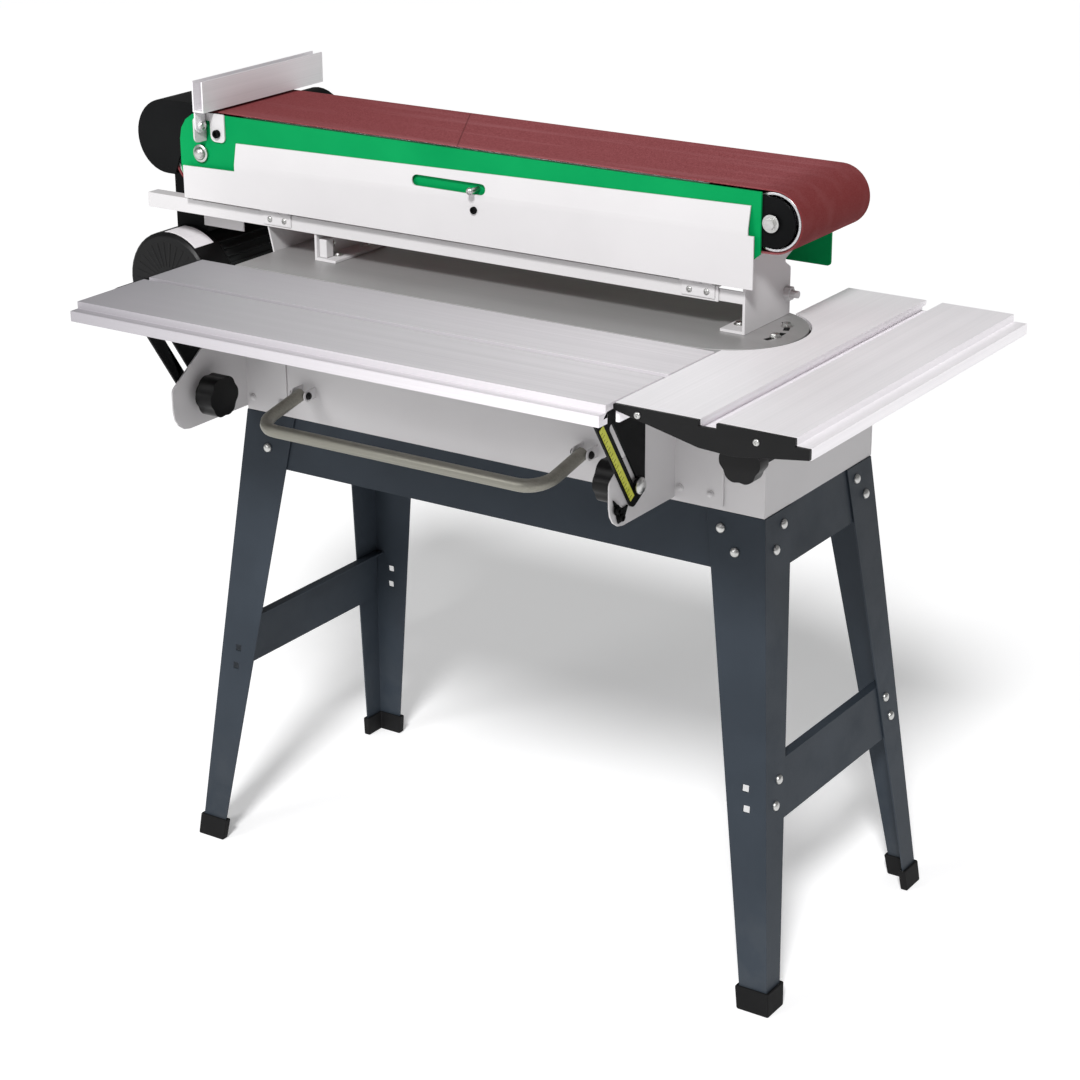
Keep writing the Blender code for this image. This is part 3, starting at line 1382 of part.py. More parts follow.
def bail():
    curve = bpy.data.curves.new("bail", "CURVE")
    curve.dimensions = "3D"
    curve.bevel_depth = BAIL_TUBE
    curve.bevel_resolution = 3
    curve.use_fill_caps = True
    points = bail_route()
    spline = curve.splines.new("POLY")
    spline.points.add(len(points) - 1)
    for point, place in zip(spline.points, points):
        point.co = (*place, 1.0)
    guide = bpy.data.objects.new("bail_guide", curve)
    bpy.context.scene.collection.objects.link(guide)
    graph = bpy.context.evaluated_depsgraph_get()
    mesh = bpy.data.meshes.new_from_object(guide.evaluated_get(graph))
    bpy.data.objects.remove(guide)
    bm = bmesh.new()
    bm.from_mesh(mesh)
    bmesh.ops.remove_doubles(bm, verts=bm.verts, dist=0.00001)
    tube = add("bail", bm, "tube_steel")
    reach = BAIL_TUBE + LUG_GAP + LUG + 0.003
    for k, x in enumerate((BAIL_LEFT, BAIL_RIGHT)):
        join(tube, rod(f"bail_pin_{k}", "x", BAIL_PIVOT, BAIL_PIN, x - reach, x + reach))
    pivot("bail_swing", ((BAIL_LEFT + BAIL_RIGHT) / 2, *BAIL_PIVOT), tube)


def main():
    for old in list(bpy.data.objects):
        bpy.data.objects.remove(old)
    stand()
    cabinet()
    base_plate()
    switch_box()
    head_supports()
    head(hinge_rail())
    tables()
    bail()


main()
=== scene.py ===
# %% [markdown]
# # A long-belt edge sander
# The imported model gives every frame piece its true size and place.  This script dresses it: paint,
# brushed metal and abrasive cloth made from nodes, and the small pieces that a shop would buy by
# the box, such as bolts, screws and washers.  Everything is in metres, in the model's own frame.

import json
import math

import bmesh
import bpy
from mathutils import Matrix, Vector


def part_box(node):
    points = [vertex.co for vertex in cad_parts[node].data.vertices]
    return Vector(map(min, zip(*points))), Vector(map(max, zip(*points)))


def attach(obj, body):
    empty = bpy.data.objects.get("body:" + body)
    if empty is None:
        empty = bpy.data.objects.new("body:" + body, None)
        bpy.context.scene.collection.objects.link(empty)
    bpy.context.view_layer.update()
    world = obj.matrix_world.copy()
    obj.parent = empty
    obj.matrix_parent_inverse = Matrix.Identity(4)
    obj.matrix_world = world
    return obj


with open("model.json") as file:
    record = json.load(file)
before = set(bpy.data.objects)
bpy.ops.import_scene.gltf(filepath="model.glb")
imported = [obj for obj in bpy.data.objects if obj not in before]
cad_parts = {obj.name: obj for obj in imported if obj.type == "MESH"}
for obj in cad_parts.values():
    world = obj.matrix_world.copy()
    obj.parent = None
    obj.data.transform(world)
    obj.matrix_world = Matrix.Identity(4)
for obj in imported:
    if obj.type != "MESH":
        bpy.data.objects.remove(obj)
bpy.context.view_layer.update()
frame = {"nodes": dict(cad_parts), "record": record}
print("frame nodes:", len(frame["nodes"]))

# %% [markdown]
# The camera stands at the right front corner and looks slightly down.  A long lens keeps the legs
# almost parallel.  Its axes are worked out from the turn and the drop, so that each can be read.

# %% Camera
CAMERA_PLACE = Vector((1.6389, -2.4833, 1.5728))
CAMERA_TURN = math.radians(33.68)
CAMERA_DROP = math.radians(20.98)
CAMERA_ROLL = math.radians(-0.36)
LENS = 87.12


def make_camera():
    """A camera whose view axis is given by a turn about Z and a drop below level."""
    lens = bpy.data.cameras.new("camera")
    lens.lens = LENS
    lens.clip_end = 50
    camera = bpy.data.objects.new("camera", lens)
    flat = math.cos(CAMERA_DROP)
    across, away = math.sin(CAMERA_TURN) * flat, -math.cos(CAMERA_TURN) * flat
    back = Vector((across, away, math.sin(CAMERA_DROP)))
    aim = back.to_track_quat("Z", "Y").to_matrix().to_4x4()
    roll = Matrix.Rotation(CAMERA_ROLL, 4, "Z")
    camera.matrix_world = Matrix.Translation(CAMERA_PLACE) @ aim @ roll
    bpy.context.scene.collection.objects.link(camera)
    bpy.context.scene.camera = camera
    return camera


camera = make_camera()
print("camera at", [round(v, 3) for v in camera.matrix_world.translation])

# %% [markdown]
# Shader maths reads better as sums than as boxes and wires.  `Value` wraps one socket: adding,
# multiplying or comparing two of them lays down a Math node and hands back its result, so that
# `1 - mask` is a formula.  The reflected forms let a plain number stand on the left.

# %% A socket that can be used in sums


class Value:
    def __init__(self, recipe, socket):
        self.recipe = recipe
        self.socket = socket

    def sum(self, operation, first, second):
        return self.recipe.node("ShaderNodeMath", {"operation": operation}, {0: first, 1: second})

    def __add__(self, other):
        return self.sum("ADD", self, other)

    def __radd__(self, other):
        return self.sum("ADD", other, self)

    def __sub__(self, other):
        return self.sum("SUBTRACT", self, other)

    def __rsub__(self, other):
        return self.sum("SUBTRACT", other, self)

    def __mul__(self, other):
        return self.sum("MULTIPLY", self, other)

    def __rmul__(self, other):
        return self.sum("MULTIPLY", other, self)

    def __gt__(self, other):
        return self.sum("GREATER_THAN", self, other)

    def __lt__(self, other):
        return self.sum("LESS_THAN", self, other)

    def __abs__(self):
        return self.sum("ABSOLUTE", self, 0.0)


# %% [markdown]
# A `Recipe` is one material.  Its `node` method makes any other node from a type, its settings and
# what goes into its sockets, so each finish below is a list of what it does rather than a list of
# clicks.  Colours and vectors go through Mix and Vector Math, which keep their three channels.

# %% One material and its nodes


def light(red, green, blue):
    """A colour as a screen shows it, 0 to 255, turned into the linear values that shaders use."""
    channels = []
    for channel in (red, green, blue):
        share = channel / 255
        channels.append(share / 12.92 if share <= 0.04045 else ((share + 0.055) / 1.055) ** 2.4)
    return (*channels, 1.0)


class Recipe:
    def __init__(self, name, metallic=0.0, coat=0.0, shine=0.5):
        self.material = bpy.data.materials.new(name)
        self.material.use_nodes = True
        self.tree = self.material.node_tree
        self.shader = self.tree.nodes["Principled BSDF"]
        self.shader.inputs["Metallic"].default_value = metallic
        self.shader.inputs["Coat Weight"].default_value = coat
        self.shader.inputs["Specular IOR Level"].default_value = shine
        self.place = self.node("ShaderNodeTexCoord", output="Object")

    def node(self, kind, settings=None, inputs=None, output=0):
        made = self.tree.nodes.new(kind)
        for key, value in (settings or {}).items():
            if key == "stops":
                self.stops(made.color_ramp, value)
            else:
                setattr(made, key, value)
        for key, value in (inputs or {}).items():
            self.feed(made.inputs[key], value)
        return Value(self, made.outputs[output])

    def stops(self, ramp, stops):
        """Sets a ramp's colours; the first and the last stop are there already."""
        for position, colour in stops[1:-1]:
            ramp.elements.new(position).color = colour
        for k, (position, colour) in enumerate(stops):
            ramp.elements[k].position = position
            ramp.elements[k].color = colour

    def feed(self, socket, value):
        if isinstance(value, Value):
            self.tree.links.new(value.socket, socket)
        else:
            socket.default_value = value

    def set(self, **inputs):
        for key, value in inputs.items():
            self.feed(self.shader.inputs[key.replace("_", " ").title()], value)

    def stretch(self, x, y, z):
        """The place, scaled along each axis: small numbers draw a pattern out along that axis."""
        settings = {"operation": "MULTIPLY"}
        return self.node("ShaderNodeVectorMath", settings, {0: self.place, 1: (x, y, z)})

    def noise(self, scale, detail=3.0, place=None, roughness=0.5):
        inputs = {"Vector": place or self.place, "Scale": scale}
        inputs |= {"Detail": detail, "Roughness": roughness}
        return self.node("ShaderNodeTexNoise", None, inputs)

    def axes(self):
        split = self.node("ShaderNodeSeparateXYZ", None, {0: self.place})
        node = split.socket.node
        return [Value(self, node.outputs[k]) for k in range(3)]

    def steps(self, value, low, high, start=0.0, end=1.0):
        """Carries a value from one range to another, held at both ends."""
        inputs = {"Value": value, "From Min": low, "From Max": high, "To Min": start, "To Max": end}
        return self.node("ShaderNodeMapRange", {"clamp": True}, inputs)

    def blend(self, share, first, second, how="MIX"):
        settings = {"data_type": "RGBA", "blend_type": how}
        inputs = {0: share, 6: first, 7: second}
        return self.node("ShaderNodeMix", settings, inputs, output=2)

    def bump(self, height, depth, strength=1.0):
        inputs = {"Height": height, "Distance": depth, "Strength": strength}
        self.set(normal=self.node("ShaderNodeBump", None, inputs, output="Normal"))


# %% [markdown]
# Enamel on sheet steel is never a flat colour.  It is a touch darker where the coat is thin, its
# surface rolls like orange peel, and hands and dust dull its gloss.  One recipe with a few numbers
# serves every painted piece, so that slate, white, green and black differ only where they should.

# %% Paint


def paint(name, colour, roughness, tone=0.05, peel=0.00006, dust=0.0, shine=0.25):
    made = Recipe(name, shine=shine)
    dark = tuple(channel * (1 - 2.2 * tone) for channel in colour[:3]) + (1.0,)
    pale = tuple(min(1.0, channel * (1 + tone) + 0.002) for channel in colour[:3]) + (1.0,)
    cloud = made.steps(made.noise(7.0, 4.0), 0.35, 0.65)
    coat = made.blend(cloud, dark, pale)
    grit = made.steps(made.noise(310.0, 2.0), 0.66, 0.74)
    handled = made.steps(made.noise(16.0, 5.0, roughness=0.65), 0.45, 0.70)
    if dust:
        height = made.axes()[2]
        low = made.steps(height, 0.02, 0.20, 1.0, 0.0)
        film = low * handled * dust
        coat = made.blend(film, coat, light(150, 146, 140))
    made.set(base_color=made.blend(grit * 0.12, coat, dark))
    made.set(roughness=roughness + 0.10 * handled + 0.08 * grit)
    made.bump(made.noise(650.0, 1.0) + 0.35 * made.noise(140.0, 2.0), peel)
    return made.material


finishes = {
    "slate_paint": paint("slate_enamel", light(48, 55, 63), 0.48, 0.06, dust=0.06, shine=0.15),
    "white_paint": paint("white_enamel", light(207, 205, 206), 0.46, 0.012, shine=0.12),
    "green_paint": paint("green_enamel", light(0, 146, 80), 0.50, 0.05, shine=0.05),
    "black_paint": paint("black_enamel", light(9, 10, 11), 0.50, 0.10, shine=0.08),
    "motor_grey": paint("motor_enamel", light(34, 36, 36), 0.52, 0.08, shine=0.15),
}
print("paints:", ", ".join(finishes))

# %% [markdown]
# Plastic and rubber get their look from a moulded grain: fine and even on plastic, coarse and dull
# on rubber, with a grey bloom where it has been rubbed.

# %% Plastic and rubber


def moulded(name, colour, roughness, grain, depth, bloom):
    made = Recipe(name, shine=0.2)
    rubbed = made.steps(made.noise(38.0, 5.0, roughness=0.6), 0.45, 0.75)
    grey = tuple(min(1.0, channel + bloom) for channel in colour[:3]) + (1.0,)
    made.set(base_color=made.blend(rubbed, colour, grey))
    made.set(roughness=roughness + 0.14 * rubbed)
    made.bump(made.noise(grain, 2.0), depth)
    return made.material


MOULDINGS = {
    "black_plastic": ("black_moulding", light(12, 12, 13), 0.38, 1500.0, 0.00005, 0.002),
    "black_rubber": ("black_rubber_skin", light(12, 12, 13), 0.72, 700.0, 0.00012, 0.004),
    "go_green": ("green_button", light(26, 150, 66), 0.30, 1600.0, 0.00002, 0.01),
    "stop_red": ("red_button", light(190, 22, 22), 0.30, 1600.0, 0.00002, 0.01),
}
for slot, numbers in MOULDINGS.items():
    finishes[slot] = moulded(*numbers)
print("mouldings:", len(MOULDINGS))

# %% [markdown]
# A brushed or extruded metal carries fine lines along one direction.  Noise that is stretched along
# that direction and packed tight across it gives the lines; the same lines drive colour, roughness
# and bump together, so that they catch light as real scratches do.

# %% Brushed and extruded metal


def brushed(name, colour, roughness, along, metallic, lines, depth, tone=0.10, painted_shade=None):
    """Metal with hair lines along the named axes.  Painted_shade, if given, is two places along X and
    a grey: painted shade, full at the first place and gone by the second.
    """
    made = Recipe(name, metallic=metallic)
    scale = [1.6 if axis in along else lines for axis in "xyz"]
    hair = made.noise(1.0, 2.0, made.stretch(*scale))
    broad = [0.9 if axis in along else lines / 9 for axis in "xyz"]
    wide = made.noise(1.0, 3.0, made.stretch(*broad))
    haze = made.steps(made.noise(9.0, 4.0), 0.35, 0.70)
    dark = tuple(channel * (1 - 2 * tone) for channel in colour[:3]) + (1.0,)
    share = made.steps(0.55 * hair + 0.45 * wide, 0.36, 0.64)
    metal = made.blend(share, dark, colour)
    # Painted shade: the metal turns towards the given grey at the low end along X.
    if painted_shade:
        low, high, shade = painted_shade
        metal = made.blend(made.steps(made.axes()[0], low, high, 1.0, 0.0), metal, shade)
    made.set(base_color=metal)
    made.set(roughness=roughness + 0.10 * hair + 0.10 * haze)
    made.bump(hair + 0.8 * wide, depth)
    return made.material


# Painted shade for the front table: it greys towards its left end.
PAINTED_SHADE_GREY = light(158, 155, 160)
METALS = {
    "aluminium": ("front_table_metal", light(232, 228, 232), 0.42, "x", 0.15, 700.0, 0.00004, 0.06),
    "pale_aluminium": (
        "end_table_metal", light(253, 250, 253), 0.38, "y", 0.15, 700.0, 0.00004, 0.03
    ),
    "fence": ("fence_metal", light(236, 233, 236), 0.42, "y", 0.15, 700.0, 0.00004, 0.04),
    "zinc_plate": ("zinc", light(206, 206, 204), 0.24, "", 1.0, 260.0, 0.00002),
    "bright_steel": ("ground_steel", light(214, 214, 216), 0.16, "x", 1.0, 1200.0, 0.00001),
    "grey_steel": ("satin_plate", light(172, 171, 171), 0.36, "x", 0.4, 900.0, 0.00002, 0.04),
    "tube_steel": ("tube_steel_skin", light(150, 148, 138), 0.34, "x", 0.6, 500.0, 0.00002),
}
for slot, numbers in METALS.items():
    finishes[slot] = brushed(*numbers, painted_shade=(-0.32, 0.30, PAINTED_SHADE_GREY) if slot == "aluminium" else None)
print("metals:", len(METALS))

# %% [markdown]
# Abrasive cloth is a brown-red resin full of grit.  Two sizes of grain make the bump, sparkles come
# from a cell pattern, and pale streaks run along the belt where dust has filled it.  A thin slanted
# line shows where the two ends of the cloth are joined.

# %% Abrasive cloth
SPLICE_X = -0.105
SPLICE_LEAN = 0.58


def abrasive():
    made = Recipe("abrasive_cloth", shine=0.1)
    x, y, z = made.axes()
    inputs = {"Vector": made.place, "Scale": 1900.0}
    grain = made.node("ShaderNodeTexVoronoi", {"feature": "F1"}, inputs)
    fine = made.noise(1100.0, 3.0)
    base = made.blend(made.steps(fine, 0.35, 0.65), light(122, 54, 56), light(164, 92, 96))
    worn = made.noise(1.0, 4.0, made.stretch(2.2, 34.0, 34.0))
    base = made.blend(0.55 * made.steps(worn, 0.48, 0.78), base, light(178, 118, 122))
    # Painted shade: the cloth darkens towards its left end.
    base = made.blend(made.steps(x, -0.38, 0.0, 0.55, 0.0), base, light(112, 44, 45))
    # Painted shade: the cloth darkens again over its right end.
    right = made.steps(x, 0.37, 0.43, 0.0, 0.75)
    base = made.blend(right, base, light(104, 36, 34))
    band = abs(x - SPLICE_X + SPLICE_LEAN * y)
    splice = (band < 0.0009) * (z > 0.90)
    made.set(base_color=made.blend(0.45 * splice, base, light(70, 30, 30)))
    made.set(roughness=0.82 + 0.12 * fine)
    made.bump(grain + 0.8 * fine - 0.5 * splice, 0.00022)
    return made.material


finishes["abrasive"] = abrasive()

# %% [markdown]
# The height scale is a printed strip: yellow, slightly glossy, with worn ink.  Its lines are cut as
# real pieces further down, because a scale is read at its edges.

# %% Scale strip


def printed_strip():
    made = Recipe("scale_print", coat=0.3)
    worn = made.steps(made.noise(90.0, 4.0), 0.40, 0.72)
    made.set(base_color=made.blend(worn, light(196, 200, 44), light(214, 216, 84)))
    made.set(roughness=0.42 + 0.2 * worn)
    made.bump(made.noise(900.0, 1.0), 0.00002)
    return made.material


finishes["scale_yellow"] = printed_strip()
print("finishes:", len(finishes))

# %% [markdown]
# The frame pieces come with one material slot each.  Swapping in the finish that the record names
# for each node dresses the whole machine in one loop.  Real sheet and castings have no razor edges,
# so each piece also gets a weld and a small bevel; the bevel catches the light along every edge.

# %% Dress the frame
SOFT_EDGE = {
    "front_table": 0.0006,
    "end_table": 0.0006,
    "sanding_belt": 0.0003,
    "scale_strip": 0.0001,
}
USUAL_EDGE = 0.00045
ROUND_EDGE = {
    "knob": 0.0022,
    "foot": 0.0018,
    "dust_hood": 0.0016,
    "drive_guard": 0.0016,
    "motor_fan": 0.0014,
}


def edge_width(name):
    for start, width in ROUND_EDGE.items():
        if name.startswith(start) or name.endswith(start):
            return width
    return SOFT_EDGE.get(name, USUAL_EDGE)


def soften(obj, width):
    """A rounded edge all over, with flat faces kept flat."""
    weld = obj.modifiers.new("weld", "WELD")
    weld.merge_threshold = 0.00002
    edge = obj.modifiers.new("edge", "BEVEL")
    edge.width = width
    edge.segments = 2
    edge.limit_method = "ANGLE"
    edge.angle_limit = math.radians(38)
    edge.harden_normals = True


slots = {row["node"]: row["material_slot"] for row in frame["record"]["subparts"]}
for name, obj in frame["nodes"].items():
    mesh = obj.data
    mesh.materials.clear()
    mesh.materials.append(finishes["fence" if name == "fence_channel" else slots[name]])
    normals = mesh.attributes.get("custom_normal")
    if normals:
        mesh.attributes.remove(normals)
    mesh.shade_smooth()
    soften(obj, edge_width(name))
print("dressed", len(frame["nodes"]), "frame pieces")

# %% [markdown]
# Small fittings are all stacks of rings: a dome is a few circles that shrink, a socket is a circle
# that turns into a hexagon and goes down again, and a cross recess is a plus.  One skin function
# covers them all, and a fitting is put in place by its foot and the way it faces.

# %% Rings for small fittings
SIDES = 24


def ring(radius, height):
    turns = [2 * math.pi * k / SIDES for k in range(SIDES)]
    return [(radius * math.cos(turn), radius * math.sin(turn), height) for turn in turns]


def hexagon(radius, height):
    """A hexagon with as many points as a ring, so that the two can be skinned together."""
    points = []
    for k in range(SIDES):
        side = int(6 * k / SIDES)
        share = 6 * k / SIDES - side
        a, b = math.radians(60 * side), math.radians(60 * side + 60)
        x = math.cos(a) + (math.cos(b) - math.cos(a)) * share
        y = math.sin(a) + (math.sin(b) - math.sin(a)) * share
        points.append((radius * x, radius * y, height))
    return points


def plus(radius, height, arm=0.34):
    points = []
    for k in range(SIDES):
        c = abs(math.cos(2 * math.pi * k / SIDES)) + 1e-6
        s = abs(math.sin(2 * math.pi * k / SIDES)) + 1e-6
        reach = max(min(1 / c, arm / s), min(arm / c, 1 / s)) * radius
        a = 2 * math.pi * k / SIDES
        points.append((reach * math.cos(a), reach * math.sin(a), height))
    return points


def dome(radius, height):
    """A carriage-bolt head: a low dome with a rounded rim."""
    steps = [(1.0, 0.0), (1.0, 0.18), (0.97, 0.36), (0.88, 0.58)]
    steps += [(0.70, 0.79), (0.42, 0.94), (0.14, 1.0)]
    return [ring(radius * out, height * up) for out, up in steps]


def cross_head(radius, height):
    rows = [ring(radius, 0), ring(radius, 0.35 * height), ring(0.9 * radius, 0.7 * height)]
    rows += [ring(0.66 * radius, 0.95 * height), plus(0.52 * radius, height)]
    return rows + [plus(0.46 * radius, 0.45 * height)]


def socket_head(radius, height):
    rows = [ring(radius, 0), ring(radius, 0.88 * height), ring(0.93 * radius, height)]
    rows += [ring(0.66 * radius, height), hexagon(0.60 * radius, 0.96 * height)]
    return rows + [hexagon(0.58 * radius, 0.4 * height)]


def hex_head(radius, height):
    rows = [hexagon(radius, 0), hexagon(radius, 0.82 * height)]
    return rows + [hexagon(0.94 * radius, 0.94 * height), ring(0.80 * radius, height)]


def washer(radius, height):
    return [ring(radius, 0), ring(radius, 0.7 * height), ring(0.94 * radius, height)]


# %% [markdown]
# A group of fittings that move together is one mesh.  Each entry says where the fitting stands, the
# way it faces, and its rings; the group then rides on one body of the frame.

# %% Put fittings in place
FORWARD, UPWARD = (0, -1, 0), (0, 0, 1)
RIGHTWARD, LEFTWARD = (1, 0, 0), (-1, 0, 0)
WASHER = 0.0012


def finish_piece(name, bm, body, slot, width=0.0, material=None):
    """Makes an object from a bmesh, dresses it and lets it ride on a body."""
    bmesh.ops.recalc_face_normals(bm, faces=bm.faces)
    mesh = bpy.data.meshes.new(name)
    bm.to_mesh(mesh)
    bm.free()
    mesh.materials.append(material or finishes[slot])
    mesh.shade_smooth()
    mesh.set_sharp_from_angle(angle=math.radians(38))
    obj = bpy.data.objects.new(name, mesh)
    bpy.context.scene.collection.objects.link(obj)
    if width:
        soften(obj, width)
    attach(obj, body)
    return obj


def skin(bm, rows, matrix, closed=False):
    """Joins rings of points that have the same count, in the place that the matrix says."""
    made = [[bm.verts.new(matrix @ Vector(point)) for point in row] for row in rows]
    pairs = list(zip(made, made[1:]))
    if closed:
        pairs.append((made[-1], made[0]))
    for low, high in pairs:
        for i in range(len(low)):
            j = (i + 1) % len(low)
            bm.faces.new((low[i], low[j], high[j], high[i]))
    if not closed:
        bm.faces.new(made[0][::-1])
        bm.faces.new(made[-1])


def facing(place, direction):
    turn = Vector(direction).normalized().to_track_quat("Z", "Y").to_matrix().to_4x4()
    return Matrix.Translation(Vector(place)) @ turn


def fittings(name, entries, body, slot, material=None):
    bm = bmesh.new()
    for place, direction, rows in entries:
        skin(bm, rows, facing(place, direction))
    return finish_piece(name, bm, body, slot, material=material)


def bolt_on_washer(place, direction, radius, height=None):
    """A domed bolt head standing on a thin washer: two entries for a group."""
    up = Vector(direction).normalized()
    low = (place, direction, washer(1.35 * radius, WASHER))
    return [low, (Vector(place) + up * WASHER, direction, dome(radius, height or 0.62 * radius))]


# %% [markdown]
# The stand is bolted at every corner with bright carriage bolts.  The legs lean both ways, so a
# bolt's place is worked out from the leaning face of the leg, and it faces the way the face does.

# %% Bolts of the stand
STAND_TOP = 0.5715
CORNER_FLOOR = (0.4185, 0.1935)
CORNER_TOP = (0.364, 0.127)
STAND_BOLT = (0.0058, 0.0042)  # radius and height
FACE_BOLTS = ((0.3100, 0.5520), (0.3300, 0.5280))
SIDE_BOLTS = ((0.0880, 0.5550), (0.1080, 0.5310), (0.1330, 0.2680), (0.1440, 0.2400))


def leg_face(axis, height):
    return CORNER_FLOOR[axis] + (CORNER_TOP[axis] - CORNER_FLOOR[axis]) * height / STAND_TOP


stand_bolts = []
lean_x = (CORNER_FLOOR[0] - CORNER_TOP[0]) / STAND_TOP
lean_y = (CORNER_FLOOR[1] - CORNER_TOP[1]) / STAND_TOP
for side in (-1, 1):
    for end in (-1, 1):
        for x, z in FACE_BOLTS:
            place = (side * x, end * leg_face(1, z), z)
            stand_bolts.append((place, (0, end, lean_y), dome(*STAND_BOLT)))
        for y, z in SIDE_BOLTS:
            place = (side * leg_face(0, z), end * y, z)
            stand_bolts.append((place, (side, 0, lean_x), dome(*STAND_BOLT)))
fittings("stand_bolts", stand_bolts, "base", "zinc_plate")
print("stand bolts:", len(stand_bolts))

# %% [markdown]
# Each lower hinge leaf is held to the rail by two bright cross-head screws.  The panel has one
# bright stud, which comes through its slot from the green plate behind, and one black screw below.

# %% Hinge and panel screws
HINGE_SCREW_Z = 0.8375
HINGE_SCREW_PITCH = 0.0105  # from the leaf's middle to each screw
LEAF_FACE = 0.0051  # from the front of the hinge's knuckle to the face of its leaf
hinge_screws = []
for side in ("left", "right"):
    low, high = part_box(f"hinge_{side}_lower_leaf")
    middle = (low[0] + high[0]) / 2
    for reach in (-HINGE_SCREW_PITCH, HINGE_SCREW_PITCH):
        place = (middle + reach, low[1] + LEAF_FACE, HINGE_SCREW_Z)
        hinge_screws.append((place, FORWARD, cross_head(0.0034, 0.0017)))
fittings("hinge_screws", hinge_screws, "base", "zinc_plate")

STRIP_BOLT = (0.0350, 0.9115)
PANEL_SCREW = (0.0335, 0.8885)
STUD_RADIUS = 0.0026
STUD_REACH = 0.0175
green_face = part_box("head_front_plate")[0][1]
stud_rows = [ring(STUD_RADIUS, -0.0005), ring(STUD_RADIUS, STUD_REACH)]
for row in dome(0.0042, 0.0026):
    stud_rows.append([(x, y, STUD_REACH + z) for x, y, z in row])
stud = ((STRIP_BOLT[0], green_face, STRIP_BOLT[1]), FORWARD, stud_rows)
fittings("panel_bolt", [stud], "head", "zinc_plate")
panel_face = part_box("head_front_panel")[0][1]
screw = ((PANEL_SCREW[0], panel_face, PANEL_SCREW[1]), FORWARD, socket_head(0.0040, 0.0030))
fittings("panel_screw", [screw], "head", "black_paint")
print("hinge screws:", len(hinge_screws))

# %% [markdown]
# The fence turns on a shouldered bolt; its bracket is held by a black socket screw.  A bright ring
# shows round the end of the drive drum's shaft, and a small dome closes the fence's pin.

# %% Fence and shaft fittings
EAR = 0.0023  # thickness and gap of the fence bracket's ear
ear_face = green_face - EAR
screw = ((-0.3320, ear_face, 0.9300), FORWARD, socket_head(0.0048, 0.0042))
fittings("bracket_screw", [screw], "head", "black_paint")
pin_place = (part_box("fence_channel")[0][0] + 0.0053, -0.205, 0.940)
fittings("fence_pin_dome", [(pin_place, RIGHTWARD, dome(0.0055, 0.0030))], "head", "zinc_plate")
drum_low, drum_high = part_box("drive_drum")
DRIVE_AXIS = ((drum_low[0] + drum_high[0]) / 2, (drum_low[2] + drum_high[2]) / 2)
shaft_face = green_face - 0.0021
shaft_place = (DRIVE_AXIS[0], shaft_face - 0.0001, DRIVE_AXIS[1])
shaft_ring = bolt_on_washer(shaft_place, FORWARD, 0.0078, 0.0052)
fittings("shaft_end", shaft_ring, "drive_drum", "zinc_plate")
print("shaft end at", [round(v, 4) for v in DRIVE_AXIS])

# %% [markdown]
# The two head brackets stand on the base plate on domed bolts, and the plate's round tip carries
# two more in curved slots, which let the plate be squared to the belt.  A slot is drawn as a thin
# dark inlay a tenth of a millimetre proud, painted shade for the slot's dark inside, so no hole has
# to be cut in the frame piece.

# %% Base plate fittings
plate_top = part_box("base_plate")[1][2]
FOOT = 0.0033  # thickness and gap of a bracket's foot
FOOT_BOLTS = ((0.3470, -0.1640), (0.3470, -0.1120), (-0.1850, -0.1640), (-0.1850, -0.1120))
foot_bolts = []
for x, y in FOOT_BOLTS:
    foot_bolts += bolt_on_washer((x, y, plate_top + FOOT), UPWARD, 0.0046)
fittings("foot_bolts", foot_bolts, "base", "zinc_plate")
ARC_STEPS = 12


def arc_strip(bm, centre, radius, half, start, end, low, high):
    """A curved bar lying flat: out along its far edge and back along its near one."""
    outline = []
    for reach, first, last in ((radius + half, start, end), (radius - half, end, start)):
        for k in range(ARC_STEPS + 1):
            a = math.radians(first + (last - first) * k / ARC_STEPS)
            outline.append((centre[0] + reach * math.cos(a), centre[1] + reach * math.sin(a)))
    skin(bm, [[(x, y, z) for x, y in outline] for z in (low, high)], Matrix())


TIP_CENTRE = (0.3343, -0.1658)
TIP_RADIUS = 0.0620
SLOT_HALF = 0.0032
inlay_low, inlay_top = plate_top - 0.0005, plate_top + 0.0001
bm = bmesh.new()
for start, end in ((-22, 8), (16, 46)):
    arc_strip(bm, TIP_CENTRE, TIP_RADIUS, SLOT_HALF, start, end, inlay_low, inlay_top)
# Painted shade: the black inlays stand for the dark inside of the slots.
finish_piece("tip_slot_shade", bm, "base", "black_paint")
tip_bolts = []
for angle in (-8, 32):
    a = math.radians(angle)
    x, y = TIP_CENTRE[0] + TIP_RADIUS * math.cos(a), TIP_CENTRE[1] + TIP_RADIUS * math.sin(a)
    tip_bolts.append(((x, y, inlay_top), UPWARD, washer(0.0064, 0.0010)))
    tip_bolts.append(((x, y, inlay_top + 0.0010), UPWARD, hex_head(0.0048, 0.0030)))
fittings("tip_bolts", tip_bolts, "base", "zinc_plate")
print("base plate fittings:", len(foot_bolts) + len(tip_bolts))

# %% [markdown]
# A small block or plate is drawn as a plain box and then given the same soft edge as the frame, so
# it reads as a pressed or cast piece.

# %% Blocks and small plates


def block(bm, low, high):
    corners = ((low[0], low[1]), (high[0], low[1]), (high[0], high[1]), (low[0], high[1]))
    skin(bm, [[(x, y, z) for x, y in corners] for z in (low[2], high[2])], Matrix())


